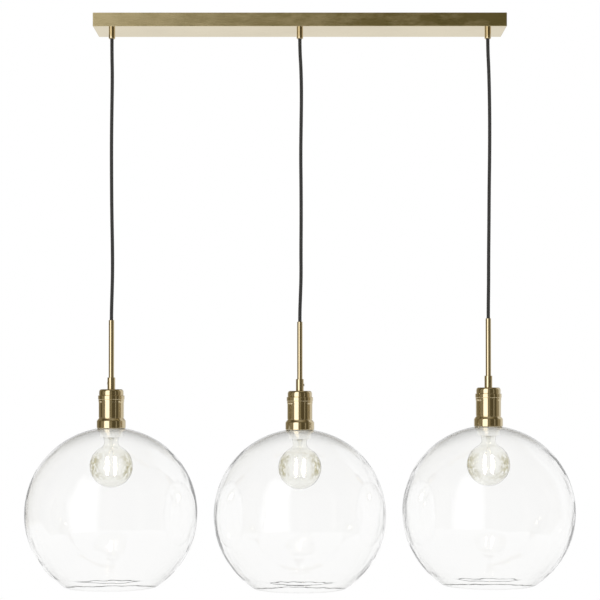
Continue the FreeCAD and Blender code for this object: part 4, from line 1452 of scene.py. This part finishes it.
@dataclass(frozen=True)
class SocketFittings(HangingSet):
    """The brass stem, the lock collar and the turned cover.

    Attributes:
        stem_ends: heights of the stem's ends, the lower one inside the cover.
        collar_ends: heights of the lock collar's faces.
        tube_edge: rounding of the stem's and collar's edges.
        cover_profile: rings of the cover by radius and drop below its top,
            first down its outside to the lip, then up its inside.
    """

    stem_ends: Range = (-0.7280, -0.5627)
    stem_radius: float = 0.0050
    stem_bore: float = 0.00375
    collar_ends: Range = (-0.69098, -0.6692)
    collar_radius: float = 0.00725
    collar_bore: float = 0.00504
    tube_edge: float = 0.0005
    cover_top: float = -0.6910
    cover_edge: float = 0.00012
    cover_profile: tuple[Ring, ...] = (
        (0.00515, 0.0), (0.0188, 0.0), (0.0199, 0.0003), (0.0206, 0.0007), (0.0213, 0.0013),
        (0.0219, 0.0021), (0.0223, 0.0031), (0.02262, 0.0042), (0.0227, 0.0052),
        (0.0227, 0.0107), (0.0222, 0.0109), (0.0222, 0.0114), (0.0240, 0.0115),
        (0.0245, 0.0120), (0.0245, 0.0185), (0.0240, 0.0190), (0.0239, 0.0191),
        (0.0239, 0.0216), (0.02378, 0.0224), (0.0236, 0.0235), (0.02342, 0.0246),
        (0.0233, 0.0257), (0.0233, 0.0526), (0.0228, 0.0528), (0.0228, 0.0538),
        (0.0233, 0.0539), (0.02372, 0.0544), (0.0246, 0.0555), (0.0256, 0.0569),
        (0.0264, 0.0580), (0.02675, 0.0588), (0.0268, 0.0598), (0.0268, 0.0711),
        (0.02672, 0.07152), (0.02645, 0.07196), (0.0260, 0.07222), (0.0256, 0.0723),
        (0.0253, 0.07215),
        (0.0253, 0.0603), (0.0239, 0.0586), (0.0226, 0.0570), (0.0213, 0.0554),
        (0.0212, 0.0540), (0.0212, 0.0055), (0.0209, 0.0043), (0.0202, 0.0031),
        (0.0191, 0.0021), (0.0180, 0.0016), (0.00515, 0.0015),
    )

    def build(self) -> None:
        """Turns the stem, the collar and the cover."""
        stem = self.tube("brass_stem", self.stem_radius, self.stem_bore, self.stem_ends, 48)
        self.hang(stem, "pendant", "stem_tube", "fitting_brass")
        collar = self.tube(
            "lock_collar_sleeve", self.collar_radius, self.collar_bore, self.collar_ends, 64
        )
        self.hang(collar, "pendant", "lock_collar", "fitting_brass")
        rings = [(radius, self.cover_top - drop) for radius, drop in self.cover_profile]
        cover = Turning("turned_cover", rings, 128, rounding=self.cover_edge, steps=2).build()
        self.hang(cover, "pendant", "socket_cover", "fitting_brass")

    def tube(self, name: str, outer: float, inner: float, ends: Range, segments: int) -> Piece:
        """Turns a plain tube with rounded edges.

        Args:
            name: its name.
            outer: outer radius.
            inner: radius of its bore.
            ends: heights of its lower and upper end.
            segments: faces round it.

        Returns:
            The tube.
        """
        low, high = ends
        rings = ((outer, low), (outer, high), (inner, high), (inner, low))
        return Turning(name, rings, segments, rounding=self.tube_edge).build()


@dataclass(frozen=True)
class ShadeRing(HangingSet):
    """The white screw ring that holds the globe on the socket.

    Attributes:
        top: height of the flange's upper face.
        wall: radius of the ring between its grips.
        grip_foot: height above the ring's end where the grips begin.
        chamfer: height above it where the wall draws in, and by how much.
        grips: grips round it, each two faces wide.
        edge: rounding of its edges.
    """

    top: float = -0.76605
    bore: float = 0.01985
    flange_radius: float = 0.0260
    flange: float = 0.0022
    wall: float = 0.0208
    height: float = 0.0142
    grip_foot: float = 0.0022
    chamfer: Range = (0.0008, 0.0002)
    segments: int = 96
    grips: int = 24
    grip_rise: float = 0.0003
    edge: float = 0.00022

    def build(self) -> None:
        """Turns the ring, then raises grips round its wall."""
        bottom = self.top - self.height
        low, high = bottom + self.grip_foot, self.top - self.flange
        rise, step_in = self.chamfer
        foot = self.wall - step_in
        rings = (
            (self.flange_radius, self.top), (self.flange_radius, high), (self.wall, high),
            (self.wall, low), (foot, bottom + rise), (foot, bottom), (self.bore, bottom),
            (self.bore, self.top),
        )
        ring = Turning("threaded_ring", rings, self.segments).build()
        Workbench.choose_faces(
            ring, lambda face: low < face.center.z < high and self.is_grip(face)
        )
        bpy.ops.mesh.extrude_region_shrink_fatten(
            TRANSFORM_OT_shrink_fatten={"value": -self.grip_rise}
        )
        Workbench.tidy(ring)
        Workbench.round_edges(ring, self.edge, 2, 40)
        Workbench.settle(ring, "threaded_ring")
        self.hang(ring, "pendant", "shade_ring", "ring_plastic")

    def is_grip(self, face: Face) -> bool:
        """Tells whether a face of the wall belongs to a grip.

        Args:
            face: a face of the ring.

        Returns:
            True on a grip.
        """
        place, normal = face.center, face.normal
        outward = normal.x * place.x + normal.y * place.y > 0.5 * math.hypot(place.x, place.y)
        turn = (math.atan2(place.y, place.x) % math.tau) / math.tau
        return outward and int(turn * self.segments) % (self.segments // self.grips) < 2


@dataclass(frozen=True)
class GlassGlobe(HangingSet):
    """The mouth-blown globe with its hole, open mouth and fire-round rims.

    Attributes:
        radius: radius of its skin, a hair inside the real globe's.
        hole_radius: radius of the hole for the socket.
        thinning: height above the mouth over which the wall thins.
        mouth_share: thickness of the wall at the mouth as a share.
        rim_share: rounding of the rims as a share of that thickness.
        unevenness: how far the wall swells inward here and there.
        swell_size: how wide such a swell is.
        rings: faces from mouth to hole.
    """

    centre: float = -0.92134
    radius: float = 0.15998
    full_radius: float = 0.160
    wall: float = 0.0025
    hole_radius: float = 0.02075
    mouth_radius: float = 0.086
    thinning: float = 0.016
    mouth_share: float = 0.45
    rim_share: float = 0.46
    unevenness: float = 0.0007
    swell_size: float = 0.075
    segments: int = 160
    rings: int = 104

    def build(self) -> None:
        """Draws the skin from mouth to hole, swells it and gives it its wall."""
        low = math.pi - math.asin(self.mouth_radius / self.full_radius)
        high = math.asin(self.hole_radius / self.full_radius)
        angles = [low + (high - low) * step / self.rings for step in range(self.rings + 1)]
        rings = [
            (self.radius * math.sin(angle), self.centre + self.radius * math.cos(angle))
            for angle in angles
        ]
        globe = Turning("globe_skin", rings, self.segments).skin()
        label = "wall_share"
        walls = globe.vertex_groups.new(name=label)
        mouth = self.centre - math.sqrt(self.full_radius ** 2 - self.mouth_radius ** 2)
        for vertex in globe.data.vertices:
            share = (vertex.co.z - mouth) / self.thinning
            walls.add([vertex.index], min(1.0, max(0.0, share)), "REPLACE")
        swell = bpy.data.textures.new("blown_swell", "CLOUDS")
        swell.noise_scale = self.swell_size
        swell.noise_depth = 1
        Workbench.modify(
            globe, "DISPLACE", texture=swell, texture_coords="LOCAL", direction="NORMAL",
            strength=self.unevenness, mid_level=1.0, vertex_group=label,
        )
        Workbench.modify(
            globe, "SOLIDIFY", thickness=self.wall, offset=-1.0, use_even_offset=True,
            vertex_group=label, thickness_vertex_group=self.mouth_share,
        )
        globe.vertex_groups.clear()
        Workbench.round_edges(globe, self.wall * self.mouth_share * self.rim_share, 5, 50)
        Workbench.settle(globe, "blown_globe", math.radians(80))
        self.hang(globe, "pendant", "glass_globe", "globe_glass")


@dataclass(frozen=True)
class GlobeLamp(HangingSet):
    """The clear globe lamp: envelope, screw cap, mount and light sticks.

    Attributes:
        steps: rings of the globe, and then of the neck.
        shoulder: angle past the equator where the neck leaves the globe.
        neck_foot: radius and height where the neck reaches the cap.
        neck_end: rings of the neck inside the cap.
        sleeve: heights of the threaded sleeve's ends.
        cap_crown: rings of the cap above its sleeve.
        mount_profile: rings of the glass mount, from the neck down.
        stick_circle: distance from the axis to each stick.
        stick_end: rings of a stick's end, by share of its radius and rise.
        wire_top: distance from the axis, and rise above the mount's end,
            where a top wire begins.
        wire_lift: rise past a stick's end where a wire meets its pin.
        foot_drop: drop below the sticks where the foot wires meet.
    """

    centre: float = -0.8335
    radius: float = 0.0400
    wall: float = 0.0005
    steps: tuple[int, int] = (64, 14)
    shoulder: float = math.radians(60.0)
    neck_foot: Ring = (0.0143, -0.7798)
    neck_end: tuple[Ring, ...] = (
        (0.0138, -0.7795), (0.0126, -0.7793), (0.0122, -0.7789), (0.0122, -0.7730),
    )
    cap_radius: float = 0.0130
    cap_edge: Ring = (0.0126, -0.7795)
    sleeve: Range = (-0.7783, -0.7596)
    sleeve_gap: float = 0.00002
    cap_crown: tuple[Ring, ...] = (
        (0.0114, -0.7582), (0.0060, -0.7550), (0.0048, -0.7550), (0.0046, -0.7554),
    )
    pitch: float = 0.003629
    thread_depth: float = 0.0009
    mount_profile: tuple[Ring, ...] = (
        (0.0078, -0.7736), (0.0066, -0.7765), (0.0050, -0.7810), (0.0038, -0.7860),
        (0.0032, -0.7905), (0.0032, -0.7995), (0.0028, -0.8012), (0.0017, -0.8020),
    )
    stick_radius: float = 0.00115
    stick_length: float = 0.0320
    stick_circle: float = 0.0100
    stick_end: tuple[Ring, ...] = ((0.45, -0.0011), (0.45, 0.0), (0.85, 0.0), (1.0, 0.0004))
    wire_radius: float = 0.0003
    wire_top: Ring = (0.0014, 0.0006)
    wire_lift: float = 0.0010
    foot_drop: float = 0.0030

    def build(self) -> None:
        """Builds the envelope, the cap, the mount and the light sticks."""
        self._envelope()
        self._cap()
        mount = Turning("lamp_mount", self.mount_profile, 40, hollow=False).build()
        self.hang(mount, "lamp", "", "lamp_glass")
        self._sticks()

    def _envelope(self) -> None:
        """Draws the glass from its foot up over the shoulder to the neck."""
        globe_steps, neck_steps = self.steps
        leave = math.pi / 2 + self.shoulder
        angles = [leave * step / globe_steps for step in range(1, globe_steps + 1)]
        rings = [
            (self.radius * math.sin(angle), self.centre - self.radius * math.cos(angle))
            for angle in angles
        ]
        last_radius, last_height = rings[-1]
        foot_radius, foot = self.neck_foot
        slope = math.tan(self.shoulder) * (foot - last_height)
        for step in range(1, neck_steps + 1):
            share = step / neck_steps
            fall = share * share * (3.0 - 2.0 * share)
            radius = last_radius + (foot_radius - last_radius) * fall
            radius -= slope * share * (1.0 - share) ** 2
            rings.append((radius, last_height + (foot - last_height) * share))
        rings += self.neck_end
        piece = Turning("envelope_skin", rings).skin("TRIFAN")
        Workbench.modify(piece, "SOLIDIFY", thickness=self.wall, offset=-1.0)
        Workbench.settle(piece, "lamp_envelope", math.radians(60))
        self.hang(piece, "lamp", "bulb_envelope", "lamp_glass")

    def _cap(self) -> None:
        """Turns the screw cap and rolls the thread on its sleeve."""
        low, high = self.sleeve
        count = int((high - low) / self.pitch * 10)
        radius = self.cap_radius - self.sleeve_gap
        sleeve = [(radius, low + (high - low) * step / count) for step in range(count + 1)]
        rings = [self.cap_edge, *sleeve, *self.cap_crown]
        cap = Turning("screw_cap", rings, 72).skin()
        self._roll_thread(cap, low, high)
        Workbench.close(cap)
        Workbench.settle(cap, "screw_cap")
        self.hang(cap, "lamp", "bulb_cap", "cap_metal")

    def _roll_thread(self, cap: Piece, low: float, high: float) -> None:
        """Moves each point of the sleeve in by its helix.

        Args:
            cap: the cap's skin.
            low: lower end of the thread.
            high: its upper end.
        """
        for vertex in cap.data.vertices:
            place = vertex.co
            if low < place.z < high:
                turn = math.atan2(place.y, place.x) / math.tau
                fade = min(1.0, (place.z - low) / self.pitch, (high - place.z) / self.pitch)
                wave = 0.5 - 0.5 * math.cos(math.tau * ((place.z - low) / self.pitch - turn))
                ratio = 1.0 - fade * self.thread_depth * wave / self.cap_radius
                place.x *= ratio
                place.y *= ratio

    def _sticks(self) -> None:
        """Turns one light stick, copies it round, and adds its wires."""
        low, high = self.centre - self.stick_length / 2, self.centre + self.stick_length / 2
        end = [(self.stick_radius * share, rise) for share, rise in self.stick_end]
        rings = [(radius, low + rise) for radius, rise in end]
        rings += [(radius, high - rise) for radius, rise in reversed(end)]
        stick = Turning("light_stick", rings, 16, hollow=False).build()
        sticks = self._round_axis(stick, "light_stick_set", self.stick_circle)
        self.hang(sticks, "lamp", "bulb_filament", "light_sticks")
        out, lift = self.wire_top
        mount_end = self.mount_profile[-1][1]
        for name, start, height in (
            ("stick_wires_top", (out, mount_end + lift), high + self.wire_lift),
            ("stick_wires_foot", (0.0, low - self.foot_drop), low - self.wire_lift),
        ):
            wire = self._wire(start, (self.stick_circle, height))
            self.hang(self._round_axis(wire, name), "lamp", "", "cap_metal")

    def _wire(self, start: Ring, end: Ring) -> Piece:
        """Draws one thin wire outward along +X by extruding its end.

        Args:
            start: distance from the axis and height where it begins.
            end: the same where it ends.

        Returns:
            The wire.
        """
        Workbench.clear()
        bpy.ops.mesh.primitive_circle_add(
            vertices=10, radius=self.wire_radius, fill_type="NGON",
            location=(start[0], 0, start[1]),
        )
        wire = bpy.context.object
        Workbench.edit(wire, "FACE")
        bend = ((start[0] + end[0]) / 2, start[1] * 0.35 + end[1] * 0.65)
        for here, there in ((start, bend), (bend, end)):
            bpy.ops.mesh.extrude_region_move(
                TRANSFORM_OT_translate={"value": (there[0] - here[0], 0, there[1] - here[1])}
            )
        Workbench.tidy(wire)
        return Workbench.settle(wire, "stick_wire")

    @staticmethod
    def _round_axis(master: Piece, name: str, out: float = 0.0) -> Piece:
        """Copies a piece to the four sticks' places and joins the copies.

        Args:
            master: the piece, on the axis or along +X.
            name: the joined piece's name.
            out: how far each copy is moved from the axis.

        Returns:
            The joined piece.
        """
        copies = []
        for quarter in range(4):
            turn = Matrix.Rotation(math.radians(45 + 90 * quarter), 4, "Z")
            move = turn @ Matrix.Translation((out, 0, 0))
            copies.append(Workbench.again(master, f"{name}_{quarter}", move))
        bpy.data.objects.remove(master)
        Workbench.clear()
        for copy in copies:
            copy.select_set(True)
        bpy.context.view_layer.objects.active = copies[0]
        bpy.ops.object.join()
        joined = bpy.context.object
        joined.name = joined.data.name = name
        return joined


class KeptParts:
    """The frame's own parts that keep their shape and get a finish."""

    FINISHED = {
        "canopy_brass": ("canopy_housing",),
        "canopy_screw_brass": ("housing_screws",),
        "fitting_brass": (
            "gland_body", "stem_tube", "lock_collar", "lock_screw", "socket_cover",
        ),
        "contact_brass": ("earth_screw", "lampholder_contacts", "bulb_tip"),
        "bracket_steel": ("ceiling_bracket",),
        "screw_steel": ("terminal_screws", "block_screws", "gland_nuts", "stem_nut"),
        "cap_metal": ("bulb_cap",),
        "terminal_plastic": ("terminal_block",),
        "holder_plastic": ("lampholder",),
        "ring_plastic": ("shade_ring",),
        "collet_nylon": ("collet",),
        "cord_textile_inside": ("cord_tails", "cord", "pendant_lead"),
        "globe_glass": ("glass_globe",),
        "lamp_glass": ("bulb_envelope",),
        "light_sticks": ("bulb_filament",),
    }

    def dress(self, nodes: dict[str, Piece]) -> None:
        """Gives every part of the frame its finish.

        Args:
            nodes: the frame's parts by name.
        """
        sides = {side.value for side in Side}
        slots = {label: slot for slot, labels in self.FINISHED.items() for label in labels}
        for name, part in nodes.items():
            side, _, rest = name.partition("_")
            FINISHES[slots[rest if side in sides else name]].put_on(part)
        log.info("%d kept parts dressed", len(nodes))


def main() -> None:
    """Builds the studio and the lamp."""
    logging.basicConfig(level=logging.INFO, format="%(message)s")
    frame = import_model()
    PhotoCamera().build()
    for cord in CORDS:
        cord.build()
    Studio().build()
    KeptParts().dress(frame["nodes"])
    for part in (SocketFittings(), ShadeRing(), GlassGlobe(), GlobeLamp()):
        part.build()


if __name__ == "__main__":
    main()
